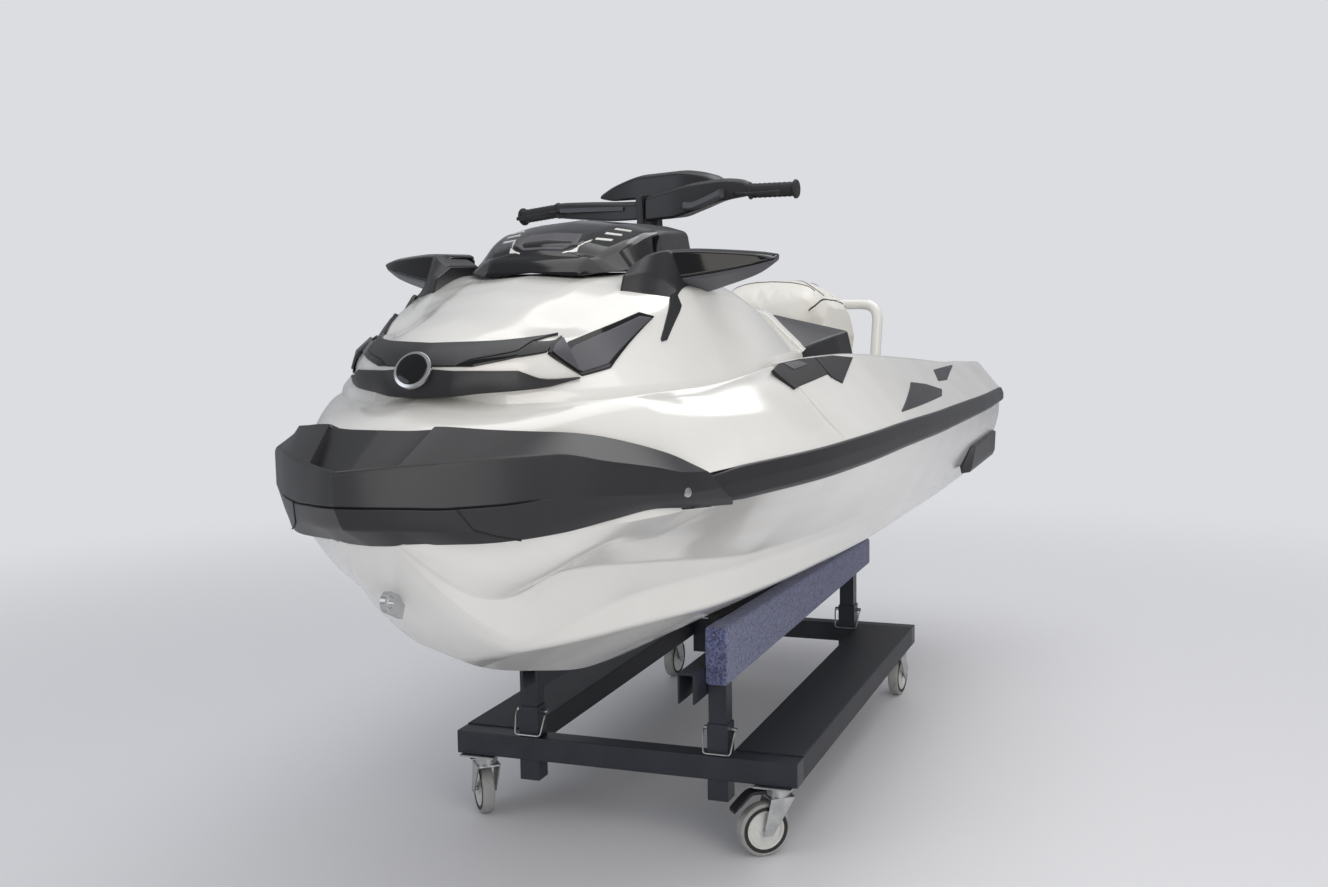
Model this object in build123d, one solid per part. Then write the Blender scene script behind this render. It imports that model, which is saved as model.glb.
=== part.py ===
"""Three-seat personal watercraft on its four-caster display dolly.

Frame: +X towards the bow, +Y to port, +Z up. Millimetres. The origin is on the floor,
under the middle of the overall length.
"""
import math
import os

from build123d import *

os.makedirs("parts", exist_ok=True)

# Seams and running room
SEAM = 0.5           # left between shells of one body
SEAT_GAP = 0.3       # left under a piece that rests on another
RUN_GAP = 6.0        # kept round a piece that moves

# Stations along the boat at which every lofted shell has a section
STERN_X = -1690.0
STATION_XS = [-1690, -1480, -1310, -1299, -1100, -850, -700, -500, -200, 110, 250, 450, 620,
              800, 950, 1100, 1200, 1300, 1400, 1500, 1560, 1600]

# Hull. Columns: x, keel z, chine y and z, knuckle y and z, flare y and z, rail y,
# rail bottom z, rail top z
HULL_STATIONS = [
    (-1690, 390, 485, 622, 536, 700, 566, 790, 592, 868, 955),
    (-1000, 402, 490, 636, 537, 706, 582, 800, 622, 888, 977),
    (-300, 414, 478, 646, 520, 712, 578, 815, 627, 905, 996),
    (300, 430, 415, 640, 450, 713, 533, 820, 606, 915, 1006),
    (700, 464, 325, 632, 352, 710, 455, 815, 568, 915, 1006),
    (1000, 530, 190, 628, 205, 695, 262, 780, 500, 915, 1003),
    (1250, 603, 100, 652, 113, 680, 190, 812, 408, 908, 995),
    (1450, 712, 34, 730, 48, 742, 145, 790, 285, 905, 992),
    (1600, 866, 20, 874, 35, 882, 80, 892, 150, 902, 1000),
]
RAIL_WIDTH = 30.0        # rub rail, outside to inside
RAIL_PROUD = 14.0        # rail beyond the hull and deck sides
RAIL_BEVEL = 12.0
BOND_RISE = 42.0         # joint of hull and deck above the rail's bottom edge
WELL_Z = 780.0           # underside of the deck inside the hull
WELL_INSET = 12.0        # deck's underside inboard of the hull's knuckle
DECK_END_X = 620.0

# Deck aft of the helm. Columns: x, gunwale ridge y and z, centre z
DECK_STATIONS = [
    (-1690, 500, 1008, 932),
    (-1310, 492, 1032, 932),
    (-1299, 491, 1033, 1020),
    (-700, 480, 1074, 1020),
    (-200, 478, 1112, 1020),
    (110, 470, 1135, 1020),
    (250, 455, 1142, 1050),
    (620, 412, 1142, 1120),
]
GUNWALE_TOP = 60.0       # width of the gunwale's inner fall
PLATFORM_FRONT_X = -1310.0
SEAT_SHELF_Z = 1020.0

# Foredeck. Columns: x, low shoulder y and z, high shoulder y and z, centre z
FOREDECK_STATIONS = [
    (620, 490, 1074, 412, 1142, 1146),
    (800, 468, 1074, 388, 1132, 1160),
    (1000, 425, 1078, 350, 1122, 1162),
    (1200, 366, 1082, 304, 1128, 1152),
    (1300, 318, 1080, 272, 1118, 1142),
    (1400, 268, 1078, 228, 1106, 1132),
    (1500, 200, 1082, 150, 1102, 1116),
    (1560, 122, 1082, 78, 1090, 1098),
    (1600, 70, 1054, 30, 1062, 1064),
]
FOREDECK_END_X = 1592.0

# Hood. Columns: x, foot y and z, edge y and z, crest y and z, crease y and z, centre z
HOOD_STATIONS = [
    (362, 398, 1152, 302, 1238, 262, 1252, 236, 1256, 1258),
    (500, 402, 1150, 312, 1268, 250, 1296, 200, 1304, 1306),
    (640, 396, 1146, 320, 1292, 244, 1332, 192, 1339, 1341),
    (850, 378, 1132, 306, 1302, 235, 1337, 150, 1339, 1340),
    (1000, 348, 1122, 284, 1268, 215, 1304, 122, 1322, 1334),
    (1100, 326, 1126, 250, 1250, 186, 1270, 112, 1298, 1313),
    (1200, 300, 1130, 212, 1224, 152, 1238, 100, 1268, 1284),
    (1300, 232, 1128, 150, 1214, 118, 1228, 92, 1240, 1256),
    (1353, 166, 1128, 102, 1210, 90, 1217, 75, 1222, 1236),
    (1385, 120, 1126, 60, 1206, 52, 1210, 42, 1214, 1222),
]

FOOT_SUNK = 14.0         # foot of the hood below the foredeck, cut back to the seam

# Storage bin under the cowl: (low, high) of x, y and z
BIN = ((690.0, 950.0), (-104.0, 104.0), (975.0, 1420.0))

# Console between the hood and the seat. Columns: x, foot y and z, top y and z
CONSOLE_STATIONS = [
    (112, 150, 1010, 110, 1190),
    (400, 240, 1050, 180, 1330),
    (639, 330, 1100, 200, 1339),
]
COWL_HINGE = (1000.0, 1348.0)        # x and z of the cowl's hinge line
GLOVEBOX_HINGE = (291.0, 1290.0)
HINGE_Y = (48.0, 76.0)               # one barrel each side of the middle
HINGE_BARREL = 7.0
HINGE_PIN = 4.0
PIN_FIT = 0.05
GLOVEBOX = ((150.0, 270.0), (-70.0, 70.0), (1110.0, 1420.0))

# Cowl, which is the storage bin's lid. Columns: x, foot y, crown y, crown z, centre z
COWL_STATIONS = [
    (505, 190, 120, 1440, 1462),
    (700, 182, 125, 1436, 1454),
    (856, 150, 88, 1406, 1419),
    (914, 124, 78, 1383, 1390),
    (986, 104, 92, 1350, 1352),
]
COWL_FOOT_Z = 1340.0

# Bow bumper over the stem. Columns: x, outer y beyond the rail, low z, side edge z, top z
BUMPER_REAR_X = 1170.0
BUMPER_STATIONS = [
    (1170, 2, 904, 985, 1030),
    (1300, 5, 900, 1025, 1062),
    (1450, 6, 898, 1036, 1072),
    (1600, 6, 897, 1033, 1060),
]
# Its nose. Columns: x, outer y, low z, side edge z, top y, top z
NOSE_STATIONS = [
    (1600.5, 156, 897, 1033, 96, 1062),
    (1660, 88, 898, 1032, 52, 1054),
    (1700, 34, 899, 1031, 16, 1046),
    (1716, 8, 902, 1030, 4, 1036),
]

# Nose panel, a chevron across the stem. Columns: y, bottom x and z, top x and z
NOSE_PANEL_STATIONS = [
    (0, 1451, 1130, 1391, 1218),
    (100, 1408, 1135, 1353, 1219),
    (150, 1345, 1142, 1282, 1223),
    (190, 1282, 1160, 1226, 1226),
]
NOSE_PANEL_THICK = 26.0

# Hexagonal side panels of the hood, in side view. Columns: x, z
HEX_OUTLINE = [(1276, 1190), (1238, 1217), (1058, 1260), (1027, 1252), (1203, 1167), (1262, 1157)]

# Footwells. Columns: x, floor outer y, floor inner y, top outer y, top inner y
FOOTWELL_STATIONS = [
    (-1240, 430, 225, 446, 225),
    (-600, 430, 232, 448, 288),
    (0, 424, 268, 440, 366),
    (360, 392, 300, 410, 376),
    (590, 345, 290, 352, 300),
]
FOOTWELL_FLOOR_Z = 800.0
FOOTWELL_TOP_Z = 1200.0
MAT_THICK = 5.0
MAT_INSET = 12.0

# Knee panels beside the front seat. Columns: x, low y and z, high y and z
KNEE_STATIONS = [
    (360, 338, 1142, 306, 1240),
    (0, 318, 1062, 292, 1212),
    (-580, 262, 1030, 250, 1140),
]
KNEE_INNER_Y = 206.0     # clear of the front seat, which lifts off

# Seats: (rear x, front x), half width at the base and the top, top z
FRONT_SEAT = (-640.0, 100.0, 200.0, 160.0, 1175.0)
REAR_SEAT = (-1285.0, -646.0, 200.0, 160.0, 1285.0)
SEAT_INSET = 14.0
ENGINE_BAY = ((-600.0, 80.0), (-185.0, 185.0), (530.0, 1100.0))
ENGINE = ((-560.0, -60.0), (-150.0, 150.0), (530.0 + SEAT_GAP, 880.0))

# Jet drive
PUMP_AXIS_Z = 560.0
TUNNEL_HALF = 170.0
TUNNEL_FRONT_X = -1010.0
TUNNEL_ROOF_Z = 748.0
DUCT_FRONT_X = -600.0
DUCT_LIP_Z = 485.0
DUCT_HALF = 95.0
DUCT_ROOF_RISE = 80.0
PUMP_BORE = 81.0
PUMP_WALL = 6.0
PUMP_FLANGE = 98.0
VENTURI_FRONT_X = -1200.0
VENTURI_REAR_X = -1330.0
VENTURI_BORE = 40.0
IMPELLER_FRONT_X = -1040.0
IMPELLER_LENGTH = 70.0
IMPELLER_TIP_GAP = 1.0
IMPELLER_BLADES = 4
STATOR_VANES = 8
HUB_RADIUS = 34.0
SHAFT_RADIUS = 14.0
SHAFT_HOLE = 21.0
BEARING_DEPTH = 50.0     # bore in the stator's hub that carries the impeller's tail
NOZZLE_PIVOT_X = -1350.0
NOZZLE_LENGTH = 95.0
NOZZLE_FRONT_BORE = 60.0
NOZZLE_REAR_BORE = 42.0
NOZZLE_WALL = 6.0
NOZZLE_REST = 8.0        # yaw of the nozzle as the boat stands
BUCKET_PIVOT_X = -1362.0
BUCKET_RADIUS = 125.0
BUCKET_THICK = 7.0
BUCKET_HALF = 103.0
BUCKET_STOWED = 55.0     # middle of the bucket above the horizontal
BUCKET_SPREAD = 33.0
RIDE_PLATE_REAR_X = -1610.0
RIDE_PLATE_THICK = 9.0
GRATE_BARS = 7
GRATE_BAR = 7.0

# Steering
STEER_BASE = (346.0, 0.0, 1345.0)
STEER_TILT = 20.0
STEER_REST = -9.0        # turned to starboard as it stands
COLUMN_RADIUS = 27.0
COLUMN_LENGTH = 140.0
STUB_RADIUS = 18.0
STUB_LENGTH = 60.0
BEARING_RADIUS = 36.0
BAR_X = STEER_BASE[0] - (COLUMN_LENGTH + 76) * math.sin(math.radians(STEER_TILT))
BAR_Z = STEER_BASE[2] + (COLUMN_LENGTH + 25) * math.cos(math.radians(STEER_TILT))
ARM_INNER_Y = 74.0
ARM_OUTER_Y = 262.0
GRIP_OUTER_Y = 384.0
GRIP_RADIUS = 17.0
# Moulded arms of the bar. Columns: y, z, half width, half height
ARM_STATIONS = [
    (ARM_INNER_Y - 1, BAR_Z - 4, 40, 24),
    (150, BAR_Z + 2, 30, 22),
    (ARM_OUTER_Y, BAR_Z + 12, 20, 18),
]

# Mirrors. Columns: front x, y, z, half height, chord
MIRROR_STATIONS = [
    (900, 232, 1332, 30, 150),
    (868, 290, 1350, 32, 130),
    (830, 360, 1356, 26, 106),
    (768, 440, 1362, 13, 78),
]

# Stern fittings
LADDER_PIVOT_X = -1706.0
LADDER_PIVOT_Z = 600.0
LADDER_HALF = 200.0
LADDER_RISE = 235.0
LADDER_TUBE = 9.0
LADDER_PIN = 6.0
BRACKET_THICK = 6.0
EYE_THICK = 10.0
EYE_RADIUS = 18.0
EYE_REACH = 16.0         # from the transom to the middle of the eye's hole
EYE_HOLE = 11.0
STERN_EYE_Y = 420.0
STERN_EYE_Z = 800.0
BOW_EYE = (1567.0, 0.0, 795.0)

# Grab handle behind the seat
HANDLE_TUBE = 14.0
HANDLE_HALF = 205.0
HANDLE_FOOT_X = -1330.0
HANDLE_TOP_X = -1385.0
HANDLE_TOP_Z = 1222.0
HANDLE_BEND = 70.0

# Sponsons along the chine near the stern
SPONSON = (-1640.0, -1060.0)
SPONSON_OUT = 34.0

# Dolly
DOLLY_FRONT_X = 541.0
DOLLY_REAR_X = -867.0
DOLLY_HALF = 432.0
DOLLY_TOP_Z = 228.0
DOLLY_BAR = 50.0
DOLLY_BAR_HEIGHT = 57.0
POST_Y = 240.0
POST_SIZE = 50.0
POST_WALL = 3.0
POST_FIT = 0.3
REAR_POST_X = -774.0
SLEEVE_TOP_Z = 302.0
SLEEVE_BOTTOM_Z = 120.0
BUNK_Z = 396.0
BUNK_THICK = 50.0
BUNK_REAR_X = -970.0
BUNK_FRONT_X = 545.0
BUNK_TOP_FRONT_Z = 530.0
BUNK_TOP_REAR_Z = 476.0
CORE_THICK = 24.0
CHANNEL = (40.0, 70.0, 4.0)      # width, height, wall
CHANNEL_FRONT_X = 625.0
CHANNEL_TOP_Z = 440.0
PIN_RADIUS = 5.0

# Casters. Columns: name, swivel x and y, heading of the trailing wheel in degrees
CASTER_FRONT_X = DOLLY_FRONT_X - 36
CASTER_REAR_X = DOLLY_REAR_X + 37
CASTER_Y = DOLLY_HALF - 57
CASTERS = [
    ("front_port", CASTER_FRONT_X, CASTER_Y, -50.0),
    ("front_stbd", CASTER_FRONT_X, -CASTER_Y, -140.0),
    ("rear_port", CASTER_REAR_X, CASTER_Y, 175.0),
    ("rear_stbd", CASTER_REAR_X, -CASTER_Y, 178.0),
]
WHEEL_RADIUS = 63.5
WHEEL_WIDTH = 32.0
WHEEL_HUB = 46.0
CASTER_TRAIL = 38.0
CASTER_PLATE = (110.0, 90.0, 4.0)    # length, width, thickness
FORK_THICK = 3.5
FORK_SIDE_GAP = 6.0
RACE_RADIUS = 27.0
AXLE_RADIUS = 6.0


def slopes(xs, ys):
    """Slope at each knot of a curve that keeps to the data's own rises and falls."""
    steps = [(b - a) / (d - c) for a, b, c, d in zip(ys, ys[1:], xs, xs[1:])]
    inner = [0.0 if a * b <= 0 else 2 * a * b / (a + b) for a, b in zip(steps, steps[1:])]
    return [steps[0]] + inner + [steps[-1]]


def smooth(table, x, column):
    """One column of a station table at x, on a smooth curve through its rows."""
    xs = [row[0] for row in table]
    ys = [row[column] for row in table]
    grades = slopes(xs, ys)
    for i in range(len(xs) - 1):
        if x <= xs[i + 1] or i == len(xs) - 2:
            break
    h = xs[i + 1] - xs[i]
    t = min(max((x - xs[i]) / h, 0.0), 1.0)
    return (ys[i] * (1 + 2 * t) * (1 - t) ** 2 + grades[i] * h * t * (1 - t) ** 2
            + ys[i + 1] * t * t * (3 - 2 * t) - grades[i + 1] * h * t * t * (1 - t))


def row_at(table, x):
    return [smooth(table, x, column) for column in range(1, len(table[0]))]


def stations(low, high, extra=()):
    """Section places from low to high, both included."""
    inside = [x for x in list(STATION_XS) + list(extra) if low < x < high]
    return sorted({low, high, *inside})


def half_ring(x, points):
    """Closed wire at station x from half-section points (y, z), mirrored in y."""
    port = [(x, y, z) for y, z in points]
    starboard = [(x, -y, z) for y, z in reversed(points) if y > 0.0]
    return Wire.make_polygon(port + starboard, close=True)


def ring(points):
    return Wire.make_polygon(points, close=True)


def skin(wires):
    """Solid through straight-ruled sections."""
    return Solid.make_loft(wires, ruled=True)


def grow(points, out):
    """Half-section moved outwards by a distance, corners mitred. Both ends stay on y = 0."""
    grown = []
    last = len(points) - 1
    for i, (y, z) in enumerate(points):
        normals = []
        for a, b in ((i - 1, i), (i, i + 1)):
            if a < 0 or b > last:
                continue
            dy, dz = points[b][0] - points[a][0], points[b][1] - points[a][1]
            size = math.hypot(dy, dz)
            normals.append((dz / size, -dy / size))
        if len(normals) == 1:
            grown.append((y, z + out * (1 if normals[0][1] > 0 else -1)))
            continue
        (ay, az), (by, bz) = normals
        scale = out / max(1 + ay * by + az * bz, 0.35)
        grown.append((y + scale * (ay + by), z + scale * (az + bz)))
    return grown


def box_between(x, y, z):
    """Box from three (low, high) pairs."""
    size = (x[1] - x[0], y[1] - y[0], z[1] - z[0])
    centre = ((x[0] + x[1]) / 2, (y[0] + y[1]) / 2, (z[0] + z[1]) / 2)
    return Pos(*centre) * Box(*size)


def rod(start, end, radius):
    """Round bar from one point to another."""
    run = Vector(*end) - Vector(*start)
    plane = Plane(origin=Vector(*start), z_dir=run)
    return extrude(plane * Circle(radius), run.length)


def tube_about_x(profile):
    """Solid of revolution about the pump's axis from (x, radius) points."""
    plane = Plane(origin=(0, 0, PUMP_AXIS_Z), x_dir=(1, 0, 0), z_dir=(0, -1, 0))
    return revolve(plane * Polygon(*profile, align=None), Axis((0, 0, PUMP_AXIS_Z), (1, 0, 0)))


def side_prism(outline, y_low, y_high):
    """Prism of an (x, z) outline from one y to another."""
    plane = Plane(origin=(0, y_low, 0), x_dir=(1, 0, 0), z_dir=(0, -1, 0))
    return extrude(plane * Polygon(*outline, align=None), y_high - y_low, dir=(0, 1, 0))


def pair(solid):
    """The port piece and its starboard mirror image."""
    return [solid, mirror(solid, Plane.XZ)]


def biggest(shape):
    return max(shape.solids(), key=lambda solid: solid.volume)


def save(node, *shapes):
    """Write one node. Several shapes stay separate solids."""
    solids = [solid for shape in shapes for solid in shape.solids()]
    whole = solids[0] if len(solids) == 1 else Compound(children=solids)
    export_step(whole, f"parts/{node}.step")


def hinge_barrels(x, z, reach, z_low, z_high):
    """Barrels on the lid's side of a hinge line along y, each on a tongue that runs aft."""
    barrels = []
    for side in (1, -1):
        low, high = sorted((side * HINGE_Y[0], side * HINGE_Y[1]))
        barrel = rod((x, low, z), (x, high, z), HINGE_BARREL)
        tongue = box_between((x - reach, x), (low, high), (z_low, z_high))
        barrels.append(barrel + tongue - rod((x, low - 1, z), (x, high + 1, z), HINGE_PIN + PIN_FIT))
    return barrels


def hinge_lugs(x, z, depth):
    """Lugs either side of each barrel with the pin through them."""
    lugs = []
    for side in (1, -1):
        low, high = sorted((side * HINGE_Y[0], side * HINGE_Y[1]))
        lug = rod((x, low - 6, z), (x, high + 6, z), HINGE_PIN)
        for start in (low - 6, high + 1):
            lug = lug + box_between((x - 6, x + 6), (start, start + 5), (z - depth, z + 6))
        lugs.append(lug)
    return lugs


# Hull and deck sections
def rail_inner(x):
    return smooth(HULL_STATIONS, x, 8) - RAIL_WIDTH


def rail_low(x):
    return smooth(HULL_STATIONS, x, 9)


def rail_high(x):
    return smooth(HULL_STATIONS, x, 10)


def flange_y(x):
    """Edge of the hull and deck flange: under the rail, or short of the bow bumper."""
    if x < BUMPER_REAR_X:
        return rail_inner(x) + RAIL_WIDTH - RAIL_PROUD
    return rail_inner(x) + SEAM


def hull_points(x):
    keel, chine_y, chine_z, knuckle_y, knuckle_z, flare_y, flare_z, _, low, _ = row_at(
        HULL_STATIONS, x)
    inner = rail_inner(x) - SEAM
    return [(0, keel), (chine_y, chine_z), (knuckle_y, knuckle_z), (flare_y, flare_z),
            (flange_y(x), low - SEAM), (inner, low - SEAM), (inner, low + BOND_RISE),
            (0, low + BOND_RISE)]


def bottom_z(x, y):
    """Height of the hull's bottom panel at a distance y from the keel."""
    keel, chine_y, chine_z = row_at(HULL_STATIONS, x)[:3]
    return keel + (chine_z - keel) * y / chine_y


def deck_side_points(x):
    inner = rail_inner(x) - SEAM
    bond = rail_low(x) + BOND_RISE + SEAM
    return [(inner, bond), (inner, rail_high(x) + SEAM), (flange_y(x), rail_high(x) + SEAM)]


def deck_points(x):
    ridge_y, ridge_z, centre_z = row_at(DECK_STATIONS, x)
    well = smooth(HULL_STATIONS, x, 4) - WELL_INSET - SEAM
    bond = rail_low(x) + BOND_RISE + SEAM
    return ([(0, WELL_Z + SEAM), (well, WELL_Z + SEAM), (well, bond)] + deck_side_points(x)
            + [(ridge_y, ridge_z), (ridge_y - GUNWALE_TOP, centre_z), (0, centre_z)])


def foredeck_points(x):
    low_y, low_z, high_y, high_z, centre_z = row_at(FOREDECK_STATIONS, x)
    bond = rail_low(x) + BOND_RISE + SEAM
    return ([(0, bond)] + deck_side_points(x)
            + [(low_y, low_z), (high_y, high_z), (0, centre_z)])


def hood_points(x):
    foot_y, foot_z, edge_y, edge_z, crest_y, crest_z, crease_y, crease_z, centre_z = row_at(
        HOOD_STATIONS, x)
    return [(0, foot_z - FOOT_SUNK), (foot_y, foot_z - FOOT_SUNK), (foot_y, foot_z),
            (edge_y, edge_z), (crest_y, crest_z), (crease_y, crease_z), (0, centre_z)]


def console_points(x):
    foot_y, foot_z, top_y, top_z = row_at(CONSOLE_STATIONS, x)
    return [(0, foot_z), (foot_y, foot_z), (top_y, top_z), (0, top_z)]


bumper_edges = [BUMPER_REAR_X - 0.5, BUMPER_REAR_X + 0.5]
hull_xs = stations(STERN_X, STATION_XS[-1], bumper_edges)
deck_xs = stations(STERN_X, DECK_END_X)
foredeck_xs = stations(DECK_END_X + SEAM, FOREDECK_END_X, bumper_edges)

engine_bay = box_between(*ENGINE_BAY)
storage_bin = box_between(*BIN)


def well_ring(x):
    well = smooth(HULL_STATIONS, x, 4) - WELL_INSET
    return half_ring(x, [(0, WELL_Z), (well, WELL_Z), (well, 1000.0), (0, 1000.0)])


deck_well = skin([well_ring(x) for x in stations(STERN_X - 1, DECK_END_X + SEAM)])
tunnel = box_between((STERN_X - 5, TUNNEL_FRONT_X), (-TUNNEL_HALF, TUNNEL_HALF),
                     (300, TUNNEL_ROOF_Z))
DUCT_ROOF_Z = PUMP_AXIS_Z + DUCT_ROOF_RISE
duct = side_prism([
    (DUCT_FRONT_X, 380), (TUNNEL_FRONT_X - 1, 380), (TUNNEL_FRONT_X - 1, DUCT_ROOF_Z),
    (DUCT_FRONT_X - 250, DUCT_ROOF_Z), (DUCT_FRONT_X, DUCT_LIP_Z),
], -DUCT_HALF, DUCT_HALF)
shaft_hole = rod((ENGINE_BAY[0][0] - 200, 0, PUMP_AXIS_Z), (ENGINE_BAY[0][0] + 1, 0, PUMP_AXIS_Z),
                 SHAFT_HOLE)

hull_full = skin([half_ring(x, hull_points(x)) for x in hull_xs])
hull = hull_full - deck_well - tunnel - duct - engine_bay - shaft_hole
save("hull", hull)


# Deck, footwells and seat pedestal
def footwell_ring(x):
    floor_out, floor_in, top_out, top_in = row_at(FOOTWELL_STATIONS, x)
    return ring([(x, floor_in, FOOTWELL_FLOOR_Z), (x, floor_out, FOOTWELL_FLOOR_Z),
                 (x, top_out, FOOTWELL_TOP_Z), (x, top_in, FOOTWELL_TOP_Z)])


footwell_xs = [row[0] for row in FOOTWELL_STATIONS]
footwell = skin([footwell_ring(x) for x in footwell_xs])
deck = skin([half_ring(x, deck_points(x)) for x in deck_xs]) - engine_bay
for side in pair(footwell):
    deck = deck - side
save("deck", deck)


def mat_ring(x):
    floor_out, floor_in = row_at(FOOTWELL_STATIONS, x)[:2]
    low = FOOTWELL_FLOOR_Z + SEAT_GAP
    return ring([(x, floor_in + MAT_INSET, low), (x, floor_out - MAT_INSET, low),
                 (x, floor_out - MAT_INSET, low + MAT_THICK),
                 (x, floor_in + MAT_INSET, low + MAT_THICK)])


mat = skin([mat_ring(x) for x in (footwell_xs[0] + 20, footwell_xs[1], footwell_xs[2],
                                  footwell_xs[3] - 40)])
save("footwell_mats", *pair(mat))

platform_z = smooth(DECK_STATIONS, PLATFORM_FRONT_X, 3) + SEAT_GAP
platform_mat = box_between((STERN_X + 30, PLATFORM_FRONT_X - 60), (-330, 330),
                           (platform_z, platform_z + MAT_THICK))
save("platform_mat", platform_mat)

# Room that the shells leave round their neighbours
console_xs = [row[0] for row in CONSOLE_STATIONS]
deck_clear = skin([half_ring(x, grow(deck_points(x), SEAM)) for x in deck_xs])
foredeck_clear = skin([half_ring(x, grow(foredeck_points(x), SEAM)) for x in foredeck_xs])
console_clear = skin([half_ring(x, grow(console_points(x), SEAM)) for x in console_xs])

# Foredeck and hood
foredeck = skin([half_ring(x, foredeck_points(x)) for x in foredeck_xs]) - storage_bin
save("foredeck", foredeck)

hood_xs = stations(HOOD_STATIONS[0][0], HOOD_STATIONS[-1][0])
hood_full = skin([half_ring(x, hood_points(x)) for x in hood_xs])
hood = hood_full - storage_bin
for neighbour in (foredeck_clear, deck_clear, console_clear):
    hood = hood - neighbour
hood = biggest(hood)
for lug in hinge_lugs(*COWL_HINGE, 30):
    hood = hood + lug
save("hood", hood)


# Hexagonal panels on the hood's flanks
def hood_shell(inner, outer):
    outside = skin([half_ring(x, grow(hood_points(x), outer)) for x in hood_xs])
    return outside - skin([half_ring(x, grow(hood_points(x), inner)) for x in hood_xs])


hex_prism = side_prism(HEX_OUTLINE, 60, 400)
hex_panel = biggest(hood_shell(SEAM, SEAM + 5) & hex_prism)
save("hex_panels", *pair(hex_panel))


def nose_panel_ring(y):
    bottom_x, bottom_z_, top_x, top_z = row_at(NOSE_PANEL_STATIONS, abs(y))
    return ring([(bottom_x, y, bottom_z_), (top_x, y, top_z),
                 (top_x - NOSE_PANEL_THICK, y, top_z),
                 (bottom_x - NOSE_PANEL_THICK, y, bottom_z_)])


nose_ys = [-190, -150, -100, -50, 0, 50, 100, 150, 190]
nose_panel = skin([nose_panel_ring(y) for y in nose_ys])
nose_panel = biggest(nose_panel - foredeck_clear
                     - skin([half_ring(x, grow(hood_points(x), 5 + 2 * SEAM)) for x in hood_xs]))
save("nose_panel", nose_panel)


# Bow bumper
def bumper_ring(x):
    beyond, low, edge, top = row_at(BUMPER_STATIONS, x)
    inner = rail_inner(x) + 2 * SEAM
    outer = rail_inner(x) + RAIL_WIDTH + beyond
    low_y, low_z = row_at(FOREDECK_STATIONS, x)[:2]
    share = (top - rail_high(x)) / (low_z - rail_high(x))
    top_y = inner + (low_y - inner) * share + 2 * SEAM
    return ring([(x, inner, low), (x, outer - 20, low - 4), (x, outer, low + 26),
                 (x, outer, edge), (x, top_y, top), (x, inner + SEAM, rail_high(x) + SEAM)])


def bumper_nose_ring(row):
    x, outer, low, edge, top_y, top_z = row
    return half_ring(x, [(0, low), (max(outer - 20, 2), low - 4), (outer, low + 26),
                         (outer, edge), (top_y, top_z), (0, top_z - 2)])


bumper_xs = stations(BUMPER_REAR_X + 0.5, NOSE_STATIONS[0][0])
bumper_side = skin([bumper_ring(x) for x in bumper_xs])
bumper = skin([bumper_nose_ring(row) for row in NOSE_STATIONS])
for side in pair(bumper_side):
    bumper = bumper + side
save("bow_bumper", biggest(bumper - foredeck_clear))


# Rub rail
def rail_ring(x):
    inner = rail_inner(x)
    outer = inner + RAIL_WIDTH
    low, high = rail_low(x), rail_high(x)
    return ring([(x, inner, low), (x, outer - RAIL_BEVEL, low), (x, outer, low + RAIL_BEVEL),
                 (x, outer, high - RAIL_BEVEL), (x, outer - RAIL_BEVEL, high), (x, inner, high)])


rail = skin([rail_ring(x) for x in stations(STERN_X, BUMPER_REAR_X - 0.5)])
save("rub_rail", *pair(rail))


# Console, with the glovebox let into its top
def console_top(x):
    """Height of the console's top, straight between its sections."""
    for low, high in zip(CONSOLE_STATIONS, CONSOLE_STATIONS[1:]):
        if x <= high[0]:
            break
    return low[4] + (high[4] - low[4]) * (x - low[0]) / (high[0] - low[0])


console = skin([half_ring(x, console_points(x)) for x in console_xs])
console = biggest(console - deck_clear - foredeck_clear - box_between(*GLOVEBOX))
for lug in hinge_lugs(*GLOVEBOX_HINGE, 24):
    console = console + lug

# Head bearing of the steering on the console
steer_dir = (-math.sin(math.radians(STEER_TILT)), 0.0, math.cos(math.radians(STEER_TILT)))
steer_axis = Axis(STEER_BASE, steer_dir)


def on_column(distance):
    return tuple(base + distance * unit for base, unit in zip(STEER_BASE, steer_dir))


console = console + rod(on_column(-90), on_column(0), BEARING_RADIUS)
console = console - rod(on_column(-STUB_LENGTH - 1), on_column(1), STUB_RADIUS + PIN_FIT)
save("console", console)

lid_x = (GLOVEBOX[0][0] - 14, GLOVEBOX[0][1] + 6)
lid_z = [console_top(x) for x in lid_x]
glovebox_lid = side_prism([
    (lid_x[0], lid_z[0] + RUN_GAP), (lid_x[1], lid_z[1] + RUN_GAP),
    (lid_x[1], lid_z[1] + RUN_GAP + 10), (lid_x[0], lid_z[0] + RUN_GAP + 10),
], -88, 88)
for barrel in hinge_barrels(*GLOVEBOX_HINGE, 20, GLOVEBOX_HINGE[1] - 9, GLOVEBOX_HINGE[1]):
    glovebox_lid = glovebox_lid + barrel
save("glovebox_lid", glovebox_lid)


# Cowl
def cowl_ring(x):
    foot_y, crown_y, crown_z, centre_z = row_at(COWL_STATIONS, x)
    return half_ring(x, [(0, COWL_FOOT_Z + RUN_GAP), (foot_y, COWL_FOOT_Z + RUN_GAP),
                         (crown_y, crown_z), (0, centre_z)])


cowl = skin([cowl_ring(x) for x in stations(COWL_STATIONS[0][0], COWL_STATIONS[-1][0], [550, 700])])
for barrel in hinge_barrels(*COWL_HINGE, 20, COWL_FOOT_Z + RUN_GAP, COWL_FOOT_Z + RUN_GAP + 6):
    cowl = cowl + barrel
save("storage_lid", cowl)

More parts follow.
